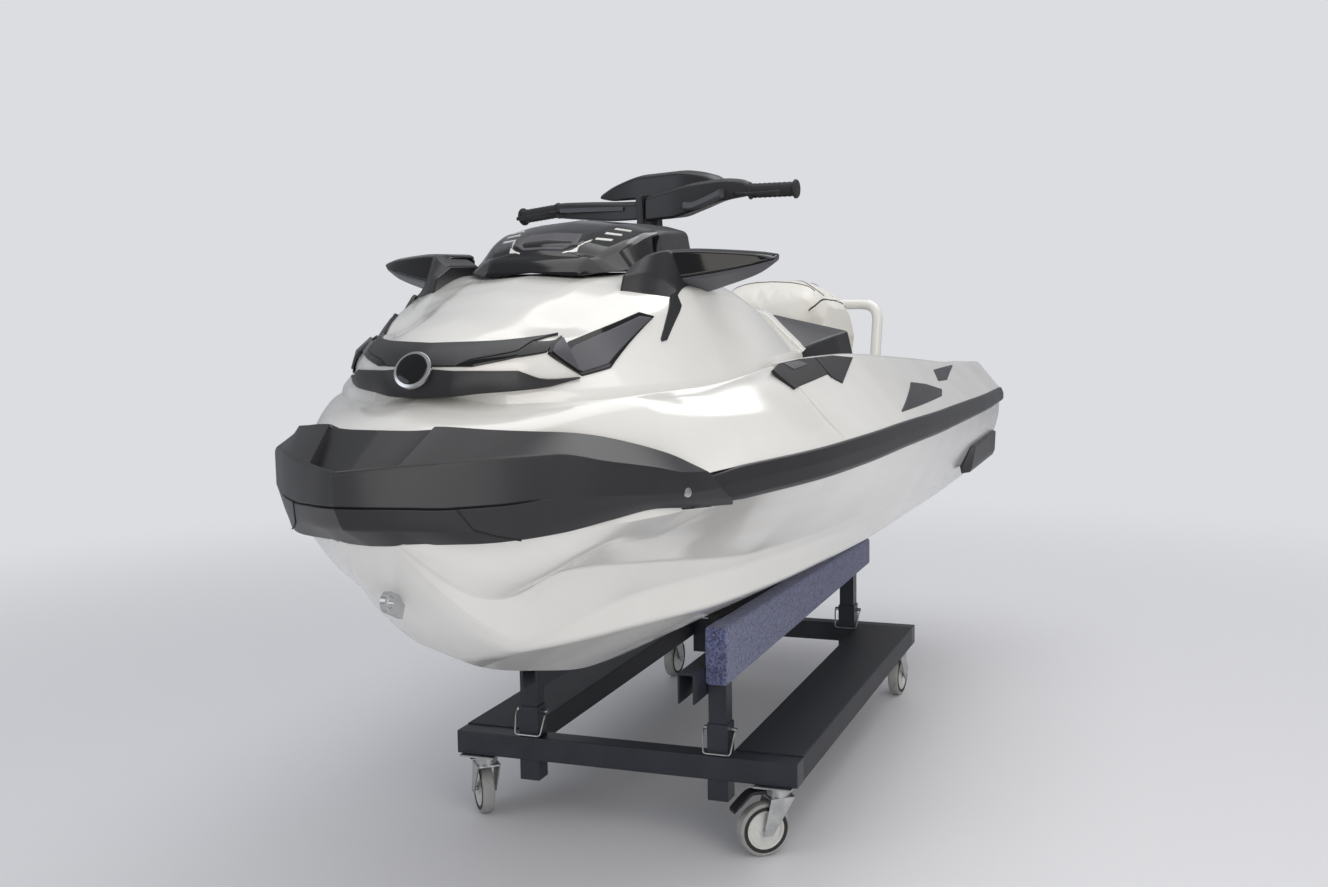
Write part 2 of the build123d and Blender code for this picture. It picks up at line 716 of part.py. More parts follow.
# Steering
column = rod(on_column(RUN_GAP), on_column(COLUMN_LENGTH), COLUMN_RADIUS)
column = column + rod(on_column(-STUB_LENGTH), on_column(RUN_GAP + 4), STUB_RADIUS)
bar_pad = box_between((BAR_X - 40, BAR_X + 62), (-ARM_INNER_Y, ARM_INNER_Y),
                      (BAR_Z - 30, BAR_Z + 24))
arm = skin([
    ring([(BAR_X + 10 - half, y, z - tall), (BAR_X + 10 + half, y, z - tall),
          (BAR_X + 10 + half * 0.7, y, z + tall), (BAR_X + 10 - half * 0.7, y, z + tall)])
    for y, z, half, tall in ARM_STATIONS
])
grip = rod((BAR_X + 8, ARM_OUTER_Y + 2, BAR_Z + 12), (BAR_X, GRIP_OUTER_Y, BAR_Z + 6),
           GRIP_RADIUS)
handlebar = bar_pad
for side in pair(arm):
    handlebar = handlebar + side
column = biggest(column - handlebar)
save("steering_column", column.rotate(steer_axis, STEER_REST))
save("handlebar", handlebar.rotate(steer_axis, STEER_REST))
save("grips", *[side.rotate(steer_axis, STEER_REST) for side in pair(grip)])

# Mirrors
mirror_rings = [
    ring([(x - chord, y, z - half), (x, y, z - half), (x - 12, y, z + half),
          (x - chord - 8, y, z + half)])
    for x, y, z, half, chord in MIRROR_STATIONS
]
hood_clear = skin([half_ring(x, grow(hood_points(x), SEAM)) for x in hood_xs])
save("mirrors", *pair(biggest(skin(mirror_rings) - hood_clear)))


# Knee panels
def knee_ring(row):
    x, low_y, low_z, high_y, high_z = row
    rest_z = SEAT_SHELF_Z + SEAT_GAP
    return ring([(x, low_y - 8, rest_z), (x, low_y, low_z), (x, high_y, high_z),
                 (x, KNEE_INNER_Y, high_z - 8), (x, KNEE_INNER_Y, rest_z)])


knee = skin([knee_ring(row) for row in KNEE_STATIONS])
knee = biggest(knee - deck_clear - console_clear)
save("knee_panels", *pair(knee))


# Seats
def seat(rear_x, front_x, base_half, top_half, top_z):
    low = SEAT_SHELF_Z + SEAT_GAP
    rings = [
        ring([(rear_x + inset, -half, z), (front_x - inset, -half, z),
              (front_x - inset, half, z), (rear_x + inset, half, z)])
        for half, z, inset in ((base_half, low, 0.0), (base_half, low + 60, 0.0),
                               (top_half, top_z, SEAT_INSET))
    ]
    return skin(rings)


save("seat_front", seat(*FRONT_SEAT))
save("seat_rear", seat(*REAR_SEAT))
save("engine", box_between(*ENGINE))

# Grab handle
handle_foot_z = smooth(DECK_STATIONS, HANDLE_FOOT_X, 3) + SEAT_GAP
handle_path = FilletPolyline(
    (HANDLE_FOOT_X, HANDLE_HALF, handle_foot_z), (HANDLE_TOP_X, HANDLE_HALF, HANDLE_TOP_Z),
    (HANDLE_TOP_X, -HANDLE_HALF, HANDLE_TOP_Z), (HANDLE_FOOT_X, -HANDLE_HALF, handle_foot_z),
    radius=HANDLE_BEND,
)
handle = sweep(Plane(origin=handle_path @ 0, z_dir=handle_path % 0) * Circle(HANDLE_TUBE),
               path=handle_path)
handle = biggest(handle - box_between((HANDLE_FOOT_X - 40, HANDLE_FOOT_X + 40), (-300, 300),
                                      (handle_foot_z - 60, handle_foot_z)))
save("grab_handle", handle)


# Sponsons
def sponson_ring(x, out):
    knuckle_y, knuckle_z, flare_y, flare_z = row_at(HULL_STATIONS, x)[3:7]
    up = 0.75
    high_y = knuckle_y + up * (flare_y - knuckle_y)
    high_z = knuckle_z + up * (flare_z - knuckle_z)
    return ring([(x, knuckle_y + 2, knuckle_z + 3), (x, high_y + 1, high_z),
                 (x, high_y + 0.4 * out, high_z - 6), (x, knuckle_y + out, knuckle_z - 4),
                 (x, knuckle_y + 0.8 * out, knuckle_z - 20)])


sponson_xs = stations(*SPONSON)
sponson = skin([sponson_ring(x, SPONSON_OUT if x < SPONSON[1] else 8.0) for x in sponson_xs])
save("sponsons", *pair(sponson))


# Ride plate and intake grate
def plate_ring(x):
    edge = TUNNEL_HALF - SEAT_GAP
    return half_ring(x, [(0, bottom_z(x, 0)), (edge, bottom_z(x, edge)),
                         (edge, bottom_z(x, edge) + RIDE_PLATE_THICK),
                         (0, bottom_z(x, 0) + RIDE_PLATE_THICK)])


ride_plate = skin([plate_ring(x) for x in (RIDE_PLATE_REAR_X, TUNNEL_FRONT_X - 1.5)])
save("ride_plate", ride_plate)

grate_half = DUCT_HALF - SEAT_GAP
grate_xs = (TUNNEL_FRONT_X + 0.5, DUCT_FRONT_X - 24)


def grate_cross(low_x, high_x):
    return skin([half_ring(x, [(0, bottom_z(x, 0)), (grate_half, bottom_z(x, grate_half)),
                               (grate_half, bottom_z(x, grate_half) + 12),
                               (0, bottom_z(x, 0) + 12)]) for x in (low_x, high_x)])


grate = grate_cross(grate_xs[0], grate_xs[0] + 24)
grate = grate + grate_cross(grate_xs[1] - 24, grate_xs[1])
pitch = (2 * grate_half - GRATE_BAR) / (GRATE_BARS - 1)
for i in range(GRATE_BARS):
    y = -grate_half + GRATE_BAR / 2 + i * pitch
    bar = skin([ring([(x, y - GRATE_BAR / 2, bottom_z(x, abs(y)) + 1),
                      (x, y + GRATE_BAR / 2, bottom_z(x, abs(y)) + 1),
                      (x, y + GRATE_BAR / 2, bottom_z(x, abs(y)) + 11),
                      (x, y - GRATE_BAR / 2, bottom_z(x, abs(y)) + 11)]) for x in grate_xs])
    grate = grate + bar
save("intake_grate", grate)

# Jet pump: flanged housing, straightening vanes and venturi
housing = tube_about_x([
    (TUNNEL_FRONT_X - SEAM, PUMP_BORE), (TUNNEL_FRONT_X - SEAM, PUMP_FLANGE),
    (TUNNEL_FRONT_X - 14, PUMP_FLANGE), (TUNNEL_FRONT_X - 14, PUMP_BORE + PUMP_WALL),
    (VENTURI_FRONT_X, PUMP_BORE + PUMP_WALL), (VENTURI_REAR_X, VENTURI_BORE + PUMP_WALL),
    (VENTURI_REAR_X, VENTURI_BORE), (VENTURI_FRONT_X, PUMP_BORE),
])
STATOR_FRONT_X = IMPELLER_FRONT_X - IMPELLER_LENGTH - 20
stator_hub = tube_about_x([
    (STATOR_FRONT_X, 0), (STATOR_FRONT_X, HUB_RADIUS), (VENTURI_FRONT_X, HUB_RADIUS),
    (VENTURI_FRONT_X - 60, 6), (VENTURI_FRONT_X - 60, 0),
])
stator_hub = stator_hub - rod((STATOR_FRONT_X + 1, 0, PUMP_AXIS_Z),
                              (STATOR_FRONT_X - BEARING_DEPTH, 0, PUMP_AXIS_Z), SHAFT_RADIUS + PIN_FIT)
vane = box_between((VENTURI_FRONT_X, STATOR_FRONT_X - 4), (-2.5, 2.5),
                   (PUMP_AXIS_Z + HUB_RADIUS - 4, PUMP_AXIS_Z + PUMP_BORE + 2))
jet_pump = housing + stator_hub
for i in range(STATOR_VANES):
    jet_pump = jet_pump + vane.rotate(Axis((0, 0, PUMP_AXIS_Z), (1, 0, 0)), i * 360 / STATOR_VANES)
# Side arms that carry the bucket, top and bottom ears that carry the nozzle
ARM_FRONT_X = VENTURI_FRONT_X + 20
arm_y = (PUMP_BORE + PUMP_WALL - 2, PUMP_BORE + PUMP_WALL + 6)
bucket_arm = box_between((BUCKET_PIVOT_X - 16, ARM_FRONT_X), arm_y,
                         (PUMP_AXIS_Z - 14, PUMP_AXIS_Z + 14))
for side in pair(bucket_arm):
    jet_pump = jet_pump + side
ear_z = NOZZLE_FRONT_BORE + NOZZLE_WALL + 8
for sign in (1, -1):
    heights = sorted((PUMP_AXIS_Z + sign * ear_z, PUMP_AXIS_Z + sign * (ear_z + 9)))
    ear = box_between((NOZZLE_PIVOT_X - 14, VENTURI_FRONT_X - 30), (-13, 13), heights)
    roots = sorted((PUMP_AXIS_Z + sign * 58, PUMP_AXIS_Z + sign * (ear_z + 9)))
    root = box_between((VENTURI_FRONT_X - 55, VENTURI_FRONT_X - 30), (-13, 13), roots)
    jet_pump = jet_pump + ear + root
pin_hole = rod((NOZZLE_PIVOT_X, 0, PUMP_AXIS_Z - 120), (NOZZLE_PIVOT_X, 0, PUMP_AXIS_Z + 120), 5.1)
bucket_hole = rod((BUCKET_PIVOT_X, -120, PUMP_AXIS_Z), (BUCKET_PIVOT_X, 120, PUMP_AXIS_Z), 8.1)
jet_pump = jet_pump - pin_hole - bucket_hole
save("jet_pump", jet_pump)

# Impeller and drive shaft
blade_tip = PUMP_BORE - IMPELLER_TIP_GAP
blade_steps = 5


def blade_ring(step, start):
    """Section of a helical blade, a thin radial strip turned a little further each step."""
    x = IMPELLER_FRONT_X - step * IMPELLER_LENGTH / (blade_steps - 1)
    turn = math.radians(start + step * 24)
    corners = []
    for radius, half in ((HUB_RADIUS - 8, 3.0), (blade_tip, 2.0), (blade_tip, -2.0),
                         (HUB_RADIUS - 8, -3.0)):
        y = radius * math.cos(turn) - half * math.sin(turn)
        z = radius * math.sin(turn) + half * math.cos(turn)
        corners.append((x, y, PUMP_AXIS_Z + z))
    return ring(corners)


impeller = tube_about_x([
    (IMPELLER_FRONT_X + 40, 0), (IMPELLER_FRONT_X + 40, SHAFT_RADIUS), (IMPELLER_FRONT_X, 28),
    (IMPELLER_FRONT_X - IMPELLER_LENGTH - 8, HUB_RADIUS),
    (IMPELLER_FRONT_X - IMPELLER_LENGTH - 8, 0),
])
impeller = impeller + rod((IMPELLER_FRONT_X - IMPELLER_LENGTH, 0, PUMP_AXIS_Z),
                          (STATOR_FRONT_X - BEARING_DEPTH + 5, 0, PUMP_AXIS_Z), SHAFT_RADIUS)
impeller = impeller + rod((IMPELLER_FRONT_X + 30, 0, PUMP_AXIS_Z),
                          (ENGINE[0][0] - RUN_GAP, 0, PUMP_AXIS_Z), SHAFT_RADIUS)
for i in range(IMPELLER_BLADES):
    start = i * 360 / IMPELLER_BLADES
    impeller = impeller + skin([blade_ring(step, start) for step in range(blade_steps)])
save("impeller", impeller)

# Steering nozzle
nozzle = tube_about_x([
    (NOZZLE_PIVOT_X + 5, NOZZLE_FRONT_BORE), (NOZZLE_PIVOT_X + 5, NOZZLE_FRONT_BORE + NOZZLE_WALL),
    (NOZZLE_PIVOT_X - NOZZLE_LENGTH, NOZZLE_REAR_BORE + NOZZLE_WALL),
    (NOZZLE_PIVOT_X - NOZZLE_LENGTH, NOZZLE_REAR_BORE),
])
for sign in (1, -1):
    low = PUMP_AXIS_Z + sign * (NOZZLE_FRONT_BORE + 1)
    shoulder = PUMP_AXIS_Z + sign * (ear_z - SEAM)
    tip = PUMP_AXIS_Z + sign * (ear_z + 9)
    nozzle = nozzle + rod((NOZZLE_PIVOT_X, 0, low), (NOZZLE_PIVOT_X, 0, shoulder), 11)
    nozzle = nozzle + rod((NOZZLE_PIVOT_X, 0, low), (NOZZLE_PIVOT_X, 0, tip), 5)
nozzle_axis = Axis((NOZZLE_PIVOT_X, 0, PUMP_AXIS_Z), (0, 0, 1))
save("nozzle", nozzle.rotate(nozzle_axis, NOZZLE_REST))

# Reverse bucket, stowed above the nozzle
bucket_plane = Plane(origin=(BUCKET_PIVOT_X, -BUCKET_HALF, PUMP_AXIS_Z), x_dir=(-1, 0, 0),
                     z_dir=(0, 1, 0))


def bucket_sector(radius_low, radius_high, spread):
    """Ring sector about the pivot, centred on the stowed direction."""
    start, end = BUCKET_STOWED - spread, BUCKET_STOWED + spread

    def at(radius, angle):
        return (radius * math.cos(math.radians(angle)), radius * math.sin(math.radians(angle)))

    middle = (start + end) / 2
    outline = Line(at(radius_low, start), at(radius_high, start))
    outline += ThreePointArc(at(radius_high, start), at(radius_high, middle), at(radius_high, end))
    outline += Line(at(radius_high, end), at(radius_low, end))
    outline += ThreePointArc(at(radius_low, end), at(radius_low, middle), at(radius_low, start))
    return make_face(outline)


shell = extrude(bucket_plane * bucket_sector(BUCKET_RADIUS, BUCKET_RADIUS + BUCKET_THICK,
                                             BUCKET_SPREAD), 2 * BUCKET_HALF)
cheek_face = bucket_plane * bucket_sector(12, BUCKET_RADIUS + 1, BUCKET_SPREAD / 2)
bucket = shell
for low in (0.0, 2 * BUCKET_HALF - BUCKET_THICK):
    cheek = extrude(cheek_face, BUCKET_THICK)
    cheek = cheek + extrude(bucket_plane * Circle(18), BUCKET_THICK)
    bucket = bucket + Pos(0, low, 0) * cheek
for sign in (1, -1):
    pin = rod((BUCKET_PIVOT_X, sign * (arm_y[0] + 0.5), PUMP_AXIS_Z),
              (BUCKET_PIVOT_X, sign * (BUCKET_HALF - 1), PUMP_AXIS_Z), 8)
    bucket = bucket + pin
save("reverse_bucket", bucket)

# Boarding ladder and its brackets
bracket_y = LADDER_HALF + LADDER_TUBE + 2
bracket_face = side_prism([
    (STERN_X - SEAT_GAP, LADDER_PIVOT_Z - 26), (STERN_X - SEAT_GAP, LADDER_PIVOT_Z + 26),
    (LADDER_PIVOT_X - 12, LADDER_PIVOT_Z + 12), (LADDER_PIVOT_X - 12, LADDER_PIVOT_Z - 12),
], bracket_y, bracket_y + BRACKET_THICK)
ladder_hole = rod((LADDER_PIVOT_X, -300, LADDER_PIVOT_Z), (LADDER_PIVOT_X, 300, LADDER_PIVOT_Z),
                  LADDER_PIN + 0.1)
save("ladder_brackets", *pair(bracket_face - ladder_hole))
ladder_path = FilletPolyline(
    (LADDER_PIVOT_X, LADDER_HALF, LADDER_PIVOT_Z),
    (LADDER_PIVOT_X, LADDER_HALF, LADDER_PIVOT_Z + LADDER_RISE),
    (LADDER_PIVOT_X, -LADDER_HALF, LADDER_PIVOT_Z + LADDER_RISE),
    (LADDER_PIVOT_X, -LADDER_HALF, LADDER_PIVOT_Z),
    radius=35,
)
ladder = sweep(Plane(origin=ladder_path @ 0, z_dir=ladder_path % 0) * Circle(LADDER_TUBE),
               path=ladder_path)
for side in pair(rod((LADDER_PIVOT_X, LADDER_HALF - 4, LADDER_PIVOT_Z),
                     (LADDER_PIVOT_X, bracket_y + BRACKET_THICK, LADDER_PIVOT_Z), LADDER_PIN)):
    ladder = ladder + side
save("boarding_ladder", ladder)


# Eyes for towing and tying down
def eye(root_length):
    """Lug in the XZ plane, its hole at the origin. A positive root runs towards -X."""
    plate = extrude(Plane.XZ * (Circle(EYE_RADIUS) + Pos(-root_length / 2, 0)
                                * Rectangle(abs(root_length), 2 * EYE_RADIUS)), EYE_THICK / 2, both=True)
    return plate - extrude(Plane.XZ * Circle(EYE_HOLE), EYE_THICK, both=True)


stern_eye = Pos(STERN_X - EYE_REACH - SEAT_GAP, STERN_EYE_Y, STERN_EYE_Z) * eye(-EYE_REACH)
transom = box_between((STERN_X - SEAT_GAP, STERN_X + 60), (300, 500), (700, 900))
save("stern_eyes", *pair(biggest(stern_eye - transom)))
bow_eye = Pos(*BOW_EYE) * eye(50.0).rotate(Axis.Y, -25)
bow_eye = biggest(bow_eye - skin([half_ring(x, grow(hull_points(x), SEAT_GAP)) for x in hull_xs]))
save("bow_eye", bow_eye)

# Dolly frame
post_xs = (DOLLY_FRONT_X - POST_SIZE / 2, REAR_POST_X)
posts = [(x, sign * POST_Y) for x in post_xs for sign in (1, -1)]
bars = []
for low_x in (DOLLY_FRONT_X - DOLLY_BAR, DOLLY_REAR_X):
    bars.append(box_between((low_x, low_x + DOLLY_BAR), (-DOLLY_HALF, DOLLY_HALF),
                            (DOLLY_TOP_Z - DOLLY_BAR_HEIGHT, DOLLY_TOP_Z)))
plank = box_between((DOLLY_REAR_X + DOLLY_BAR, DOLLY_FRONT_X - DOLLY_BAR),
                    (POST_Y + POST_SIZE / 2 + SEAT_GAP, DOLLY_HALF), (DOLLY_TOP_Z - DOLLY_BAR_HEIGHT, DOLLY_TOP_Z))
save("dolly_planks", *pair(plank))

sleeves = []
tubes = []
pins = []
tube_size = POST_SIZE - 2 * POST_WALL - 2 * POST_FIT
for x, y in posts:
    sleeve = box_between((x - POST_SIZE / 2, x + POST_SIZE / 2), (y - POST_SIZE / 2, y + POST_SIZE / 2),
                         (SLEEVE_BOTTOM_Z, SLEEVE_TOP_Z))
    bars = [bar - sleeve for bar in bars]
    bore = box_between((x - tube_size / 2 - POST_FIT, x + tube_size / 2 + POST_FIT),
                       (y - tube_size / 2 - POST_FIT, y + tube_size / 2 + POST_FIT),
                       (SLEEVE_BOTTOM_Z + 20, SLEEVE_TOP_Z + 1))
    tube = box_between((x - tube_size / 2, x + tube_size / 2), (y - tube_size / 2, y + tube_size / 2),
                       (SLEEVE_BOTTOM_Z + 20 + SEAT_GAP, BUNK_Z - SEAT_GAP))
    hole = rod((x, y - 60, SLEEVE_TOP_Z - 16), (x, y + 60, SLEEVE_TOP_Z - 16), PIN_RADIUS + 0.1)
    sleeves.append(sleeve - bore - hole)
    tubes.append(tube - hole)
    pins.append(rod((x, y - 40, SLEEVE_TOP_Z - 16), (x, y + 40, SLEEVE_TOP_Z - 16), PIN_RADIUS))
save("dolly_crossbars", *bars)
save("post_sleeves", *sleeves)
save("bunk_posts", *tubes)
save("lock_pins", *pins)

# Bunks: a carpeted board outside, a black core board that bears on the hull, a channel
bunk = side_prism([
    (BUNK_REAR_X, BUNK_Z), (BUNK_FRONT_X, BUNK_Z), (BUNK_FRONT_X, BUNK_TOP_FRONT_Z),
    (BUNK_REAR_X, BUNK_TOP_REAR_Z),
], POST_Y - BUNK_THICK / 2, POST_Y + BUNK_THICK / 2)
save("bunks", *pair(bunk))
channel_y = POST_Y - BUNK_THICK / 2 - SEAT_GAP - CHANNEL[0]
channel_z = CHANNEL_TOP_Z - CHANNEL[1]
outer_box = box_between((BUNK_REAR_X, CHANNEL_FRONT_X), (channel_y, channel_y + CHANNEL[0]),
                        (channel_z, CHANNEL_TOP_Z))
inner_box = box_between((BUNK_REAR_X - 1, CHANNEL_FRONT_X + 1),
                        (channel_y + CHANNEL[2], channel_y + CHANNEL[0] - CHANNEL[2]),
                        (channel_z - 1, CHANNEL_TOP_Z - CHANNEL[2]))
save("channel_rails", *pair(outer_box - inner_box))
core_y = channel_y + CHANNEL[0] - CORE_THICK
core_xs = stations(BUNK_REAR_X, 450)
core_top = [(x, bottom_z(x, core_y) - SEAT_GAP) for x in reversed(core_xs)]
core = side_prism([(BUNK_REAR_X, CHANNEL_TOP_Z + SEAT_GAP), (450, CHANNEL_TOP_Z + SEAT_GAP)]
                  + core_top, core_y, core_y + CORE_THICK)
save("bunk_cores", *pair(core))

# Casters
plates = []
plate_z = DOLLY_TOP_Z - DOLLY_BAR_HEIGHT - SEAT_GAP
fork_top_z = plate_z - CASTER_PLATE[2]
hub_half = WHEEL_WIDTH / 2
fork_inner = hub_half + FORK_SIDE_GAP
fork_outer = fork_inner + FORK_THICK
crown_z = 2 * WHEEL_RADIUS + 8
for name, swivel_x, swivel_y, heading in CASTERS:
    place = Pos(swivel_x, swivel_y, 0)
    plate = Pos(swivel_x, swivel_y, plate_z - CASTER_PLATE[2] / 2) * Box(*CASTER_PLATE)
    plates.append(plate)
    crown = Pos(0, 0, crown_z + 2) * Box(60, 2 * fork_outer, 4)
    race = extrude(Plane.XY.offset(crown_z + 4) * Circle(RACE_RADIUS),
                   fork_top_z - SEAM - crown_z - 4)
    fork = crown + race
    leg = extrude(
        Plane(origin=(0, fork_outer, 0), x_dir=(1, 0, 0), z_dir=(0, -1, 0))
        * Polygon((-30, crown_z + 4), (30, crown_z + 4), (CASTER_TRAIL + 12, WHEEL_RADIUS - 10),
                  (CASTER_TRAIL - 12, WHEEL_RADIUS - 10), align=None), FORK_THICK)
    axle = rod((CASTER_TRAIL, -fork_outer - 5, WHEEL_RADIUS), (CASTER_TRAIL, fork_outer + 5, WHEEL_RADIUS),
               AXLE_RADIUS)
    fork = fork + leg + mirror(leg, Plane.XZ) + axle
    tread_plane = Plane(origin=(CASTER_TRAIL, hub_half, WHEEL_RADIUS), z_dir=(0, -1, 0))
    tread = extrude(tread_plane * (Circle(WHEEL_RADIUS) - Circle(WHEEL_HUB)), WHEEL_WIDTH)
    hub = extrude(tread_plane * (Circle(WHEEL_HUB - 0.05) - Circle(AXLE_RADIUS + 0.1)), WHEEL_WIDTH)
    turn = place * Rot(0, 0, heading)
    save(f"fork_{name}", turn * fork)
    save(f"tread_{name}", turn * tread)
    save(f"wheel_hub_{name}", turn * hub)
save("caster_plates", *plates)
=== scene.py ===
# %% [markdown]
# A three-seat personal watercraft on its display dolly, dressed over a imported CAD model.
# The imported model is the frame: it says where every piece is and what it moves with. Each
# step below either puts a better finish on a CAD node or swaps a plain node for a smoother
# surface of the same size. Tables are in millimetres, and `MM` turns them to Blender's metres.

# %% Load the frame
import math

import bmesh
import bpy
import numpy as np
from mathutils import Matrix, Vector


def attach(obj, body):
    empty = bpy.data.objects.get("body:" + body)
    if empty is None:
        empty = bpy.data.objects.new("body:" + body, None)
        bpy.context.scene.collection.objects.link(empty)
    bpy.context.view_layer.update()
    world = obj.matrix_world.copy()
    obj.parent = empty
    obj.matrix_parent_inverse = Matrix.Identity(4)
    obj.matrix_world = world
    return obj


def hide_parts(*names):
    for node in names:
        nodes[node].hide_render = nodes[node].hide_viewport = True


MM = 0.001
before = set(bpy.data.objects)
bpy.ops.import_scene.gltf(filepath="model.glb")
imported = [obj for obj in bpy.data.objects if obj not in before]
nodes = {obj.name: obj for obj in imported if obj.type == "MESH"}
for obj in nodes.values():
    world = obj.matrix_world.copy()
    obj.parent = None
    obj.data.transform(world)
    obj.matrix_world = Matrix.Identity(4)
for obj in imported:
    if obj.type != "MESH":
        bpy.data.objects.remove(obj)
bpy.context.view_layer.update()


# %% [markdown]
# Colour. Paint and gelcoat colours are noted as sRGB hex values, the way a colour picker shows
# them. A shader works with linear light, so one function undoes the sRGB curve.

# %% Colour and node helpers
def tone(hex_colour):
    """sRGB hex to linear: v / 12.92 in the darkest part, ((v + 0.055) / 1.055) to the 2.4 above it."""
    v = np.array([int(hex_colour[i:i + 2], 16) for i in (1, 3, 5)]) / 255
    return (*np.where(v <= 0.04045, v / 12.92, ((v + 0.055) / 1.055) ** 2.4), 1.0)


def add(tree, kind, settings=None, links=None):
    """Adds one shader node. Settings are its properties or its sockets' values; links are sources."""
    node = tree.nodes.new("ShaderNode" + kind)
    for key, value in (settings or {}).items():
        if isinstance(key, str) and hasattr(node, key):
            setattr(node, key, value)
        else:
            node.inputs[key].default_value = value
    for key, source in (links or {}).items():
        tree.links.new(source, node.inputs[key])
    return node


def shader_of(name, **sockets):
    """A new material and its Principled shader, with sockets set by name (underscores for spaces)."""
    material = bpy.data.materials.new(name)
    material.use_nodes = True
    tree = material.node_tree
    shader = next(n for n in tree.nodes if n.type == "BSDF_PRINCIPLED")
    for key, value in sockets.items():
        shader.inputs[key.replace("_", " ")].default_value = value
    return material, tree, shader


def two_tone(tree, source, low, high, start=0.0, end=1.0):
    """Ramp from one colour at the value `start` to another at `end`."""
    ramp = add(tree, "ValToRGB", links={"Fac": source})
    for element, place, colour in zip(ramp.color_ramp.elements, (start, end), (low, high)):
        element.position = place
        element.color = tone(colour)
    return ramp.outputs["Color"]


def wire(tree, shader, colour, height, relief_mm):
    """Gives a shader its colour, and a bump that stands `relief_mm` where the height is 1."""
    bump = add(tree, "Bump", {"Strength": 1.0, "Distance": relief_mm * MM}, {"Height": height})
    tree.links.new(colour, shader.inputs["Base Color"])
    tree.links.new(bump.outputs["Normal"], shader.inputs["Normal"])


# %% [markdown]
# Most finishes here are moulded, sprayed or cast, and differ in the same few ways: two close
# tones in soft patches, a roughness that drifts with them, and a fine relief such as mould
# texture or orange peel. One function takes the real sizes of patch and grain in millimetres.

# %% Moulded and sprayed finishes
def moulded(name, base, other, rough, grain_mm, relief_mm, patch_mm=220, drift=0.06, cells=False,
            **sockets):
    """Noise of patch size mixes two tones and shifts roughness. Noise or cells of grain size bump."""
    material, tree, shader = shader_of(name, **sockets)
    place = add(tree, "TexCoord").outputs["Object"]
    noise = add(tree, "TexNoise", {"Scale": 1 / (patch_mm * MM), "Detail": 3.0}, {"Vector": place})
    patches = noise.outputs["Fac"]
    span = {"To Min": rough - drift, "To Max": rough + drift}
    rough_map = add(tree, "MapRange", span, {"Value": patches})
    tree.links.new(rough_map.outputs["Result"], shader.inputs["Roughness"])
    scale = {"Scale": 1 / (grain_mm * MM)}
    if cells:
        grain = add(tree, "TexVoronoi", scale, {"Vector": place}).outputs["Distance"]
    else:
        grain = add(tree, "TexNoise", {**scale, "Detail": 2.0}, {"Vector": place}).outputs["Fac"]
    wire(tree, shader, two_tone(tree, patches, base, other, 0.3, 0.7), grain, relief_mm)
    return material


gelcoat = moulded("gelcoat_white", "#e6e4df", "#ecebe7", 0.16, 9, 0.008, drift=0.03,
                  Coat_Weight=0.6, Coat_Roughness=0.12)
charcoal = moulded("satin_charcoal_plastic", "#1f1f22", "#262629", 0.4, 1.6, 0.05)
gloss_black = moulded("gloss_black_plastic", "#040406", "#070709", 0.07, 12, 0.004, drift=0.02,
                      Specular_IOR_Level=0.42)
grey_panel = moulded("satin_grey_panel", "#47474c", "#4f4f55", 0.4, 1.4, 0.04)
rubber = moulded("grip_rubber", "#1d1d1f", "#242426", 0.62, 3.2, 0.25, cells=True)
trim_black = moulded("satin_black_plastic", "#0f0f11", "#151517", 0.55, 1.8, 0.05)
dolly_paint = moulded("painted_steel", "#1d2027", "#262a33", 0.42, 2.4, 0.03, patch_mm=90)
board_paint = moulded("painted_board", "#17191f", "#23262d", 0.55, 7, 0.12, patch_mm=60)
zinc = moulded("zinc_plated_steel", "#a9abac", "#c3c4c2", 0.34, 5, 0.02, patch_mm=22, drift=0.1,
               Metallic=1.0)
stainless = moulded("stainless_steel", "#b4b5b6", "#c6c7c8", 0.22, 6, 0.01, Metallic=1.0)
aluminium = moulded("cast_aluminium", "#8e8f90", "#a2a3a3", 0.48, 2.2, 0.12, Metallic=1.0)
tread_rubber = moulded("grey_tread_rubber", "#8f8f8d", "#a5a5a2", 0.6, 2.5, 0.04, patch_mm=35)
hub_plastic = moulded("pale_hub_plastic", "#c9c9c6", "#d8d8d4", 0.4, 3, 0.02, patch_mm=30)
engine_grey = moulded("engine_casting", "#3a3c3e", "#4b4d4f", 0.6, 4, 0.4, patch_mm=60)
print("materials:", len(bpy.data.materials))


# %% [markdown]
# Carpet on the bunks is short looped pile in blue-grey. Each tuft is a few millimetres wide and
# catches the light on its own, so a cell pattern gives both the mottled colour and the relief.

# %% Carpet, traction foam and vinyl
def carpet_finish():
    """Voronoi cells of tuft size: random cell tone between two blues, distance as pile height."""
    material, tree, shader = shader_of("bunk_carpet", Roughness=0.95, Sheen_Weight=0.3)
    place = add(tree, "TexCoord").outputs["Object"]
    tufts = add(tree, "TexVoronoi", {"Scale": 1 / (5 * MM)}, {"Vector": place})
    grey = add(tree, "SeparateColor", links={"Color": tufts.outputs["Color"]})
    blues = two_tone(tree, grey.outputs["Red"], "#3d4260", "#7278a0")
    fuzz = add(tree, "TexNoise", {"Scale": 1 / (1.5 * MM), "Detail": 3.0}, {"Vector": place})
    height = add(tree, "Math", {"operation": "MULTIPLY_ADD", 1: 0.6},
                 {0: fuzz.outputs["Fac"], 2: tufts.outputs["Distance"]})
    wire(tree, shader, blues, height.outputs["Value"], 2.2)
    return material


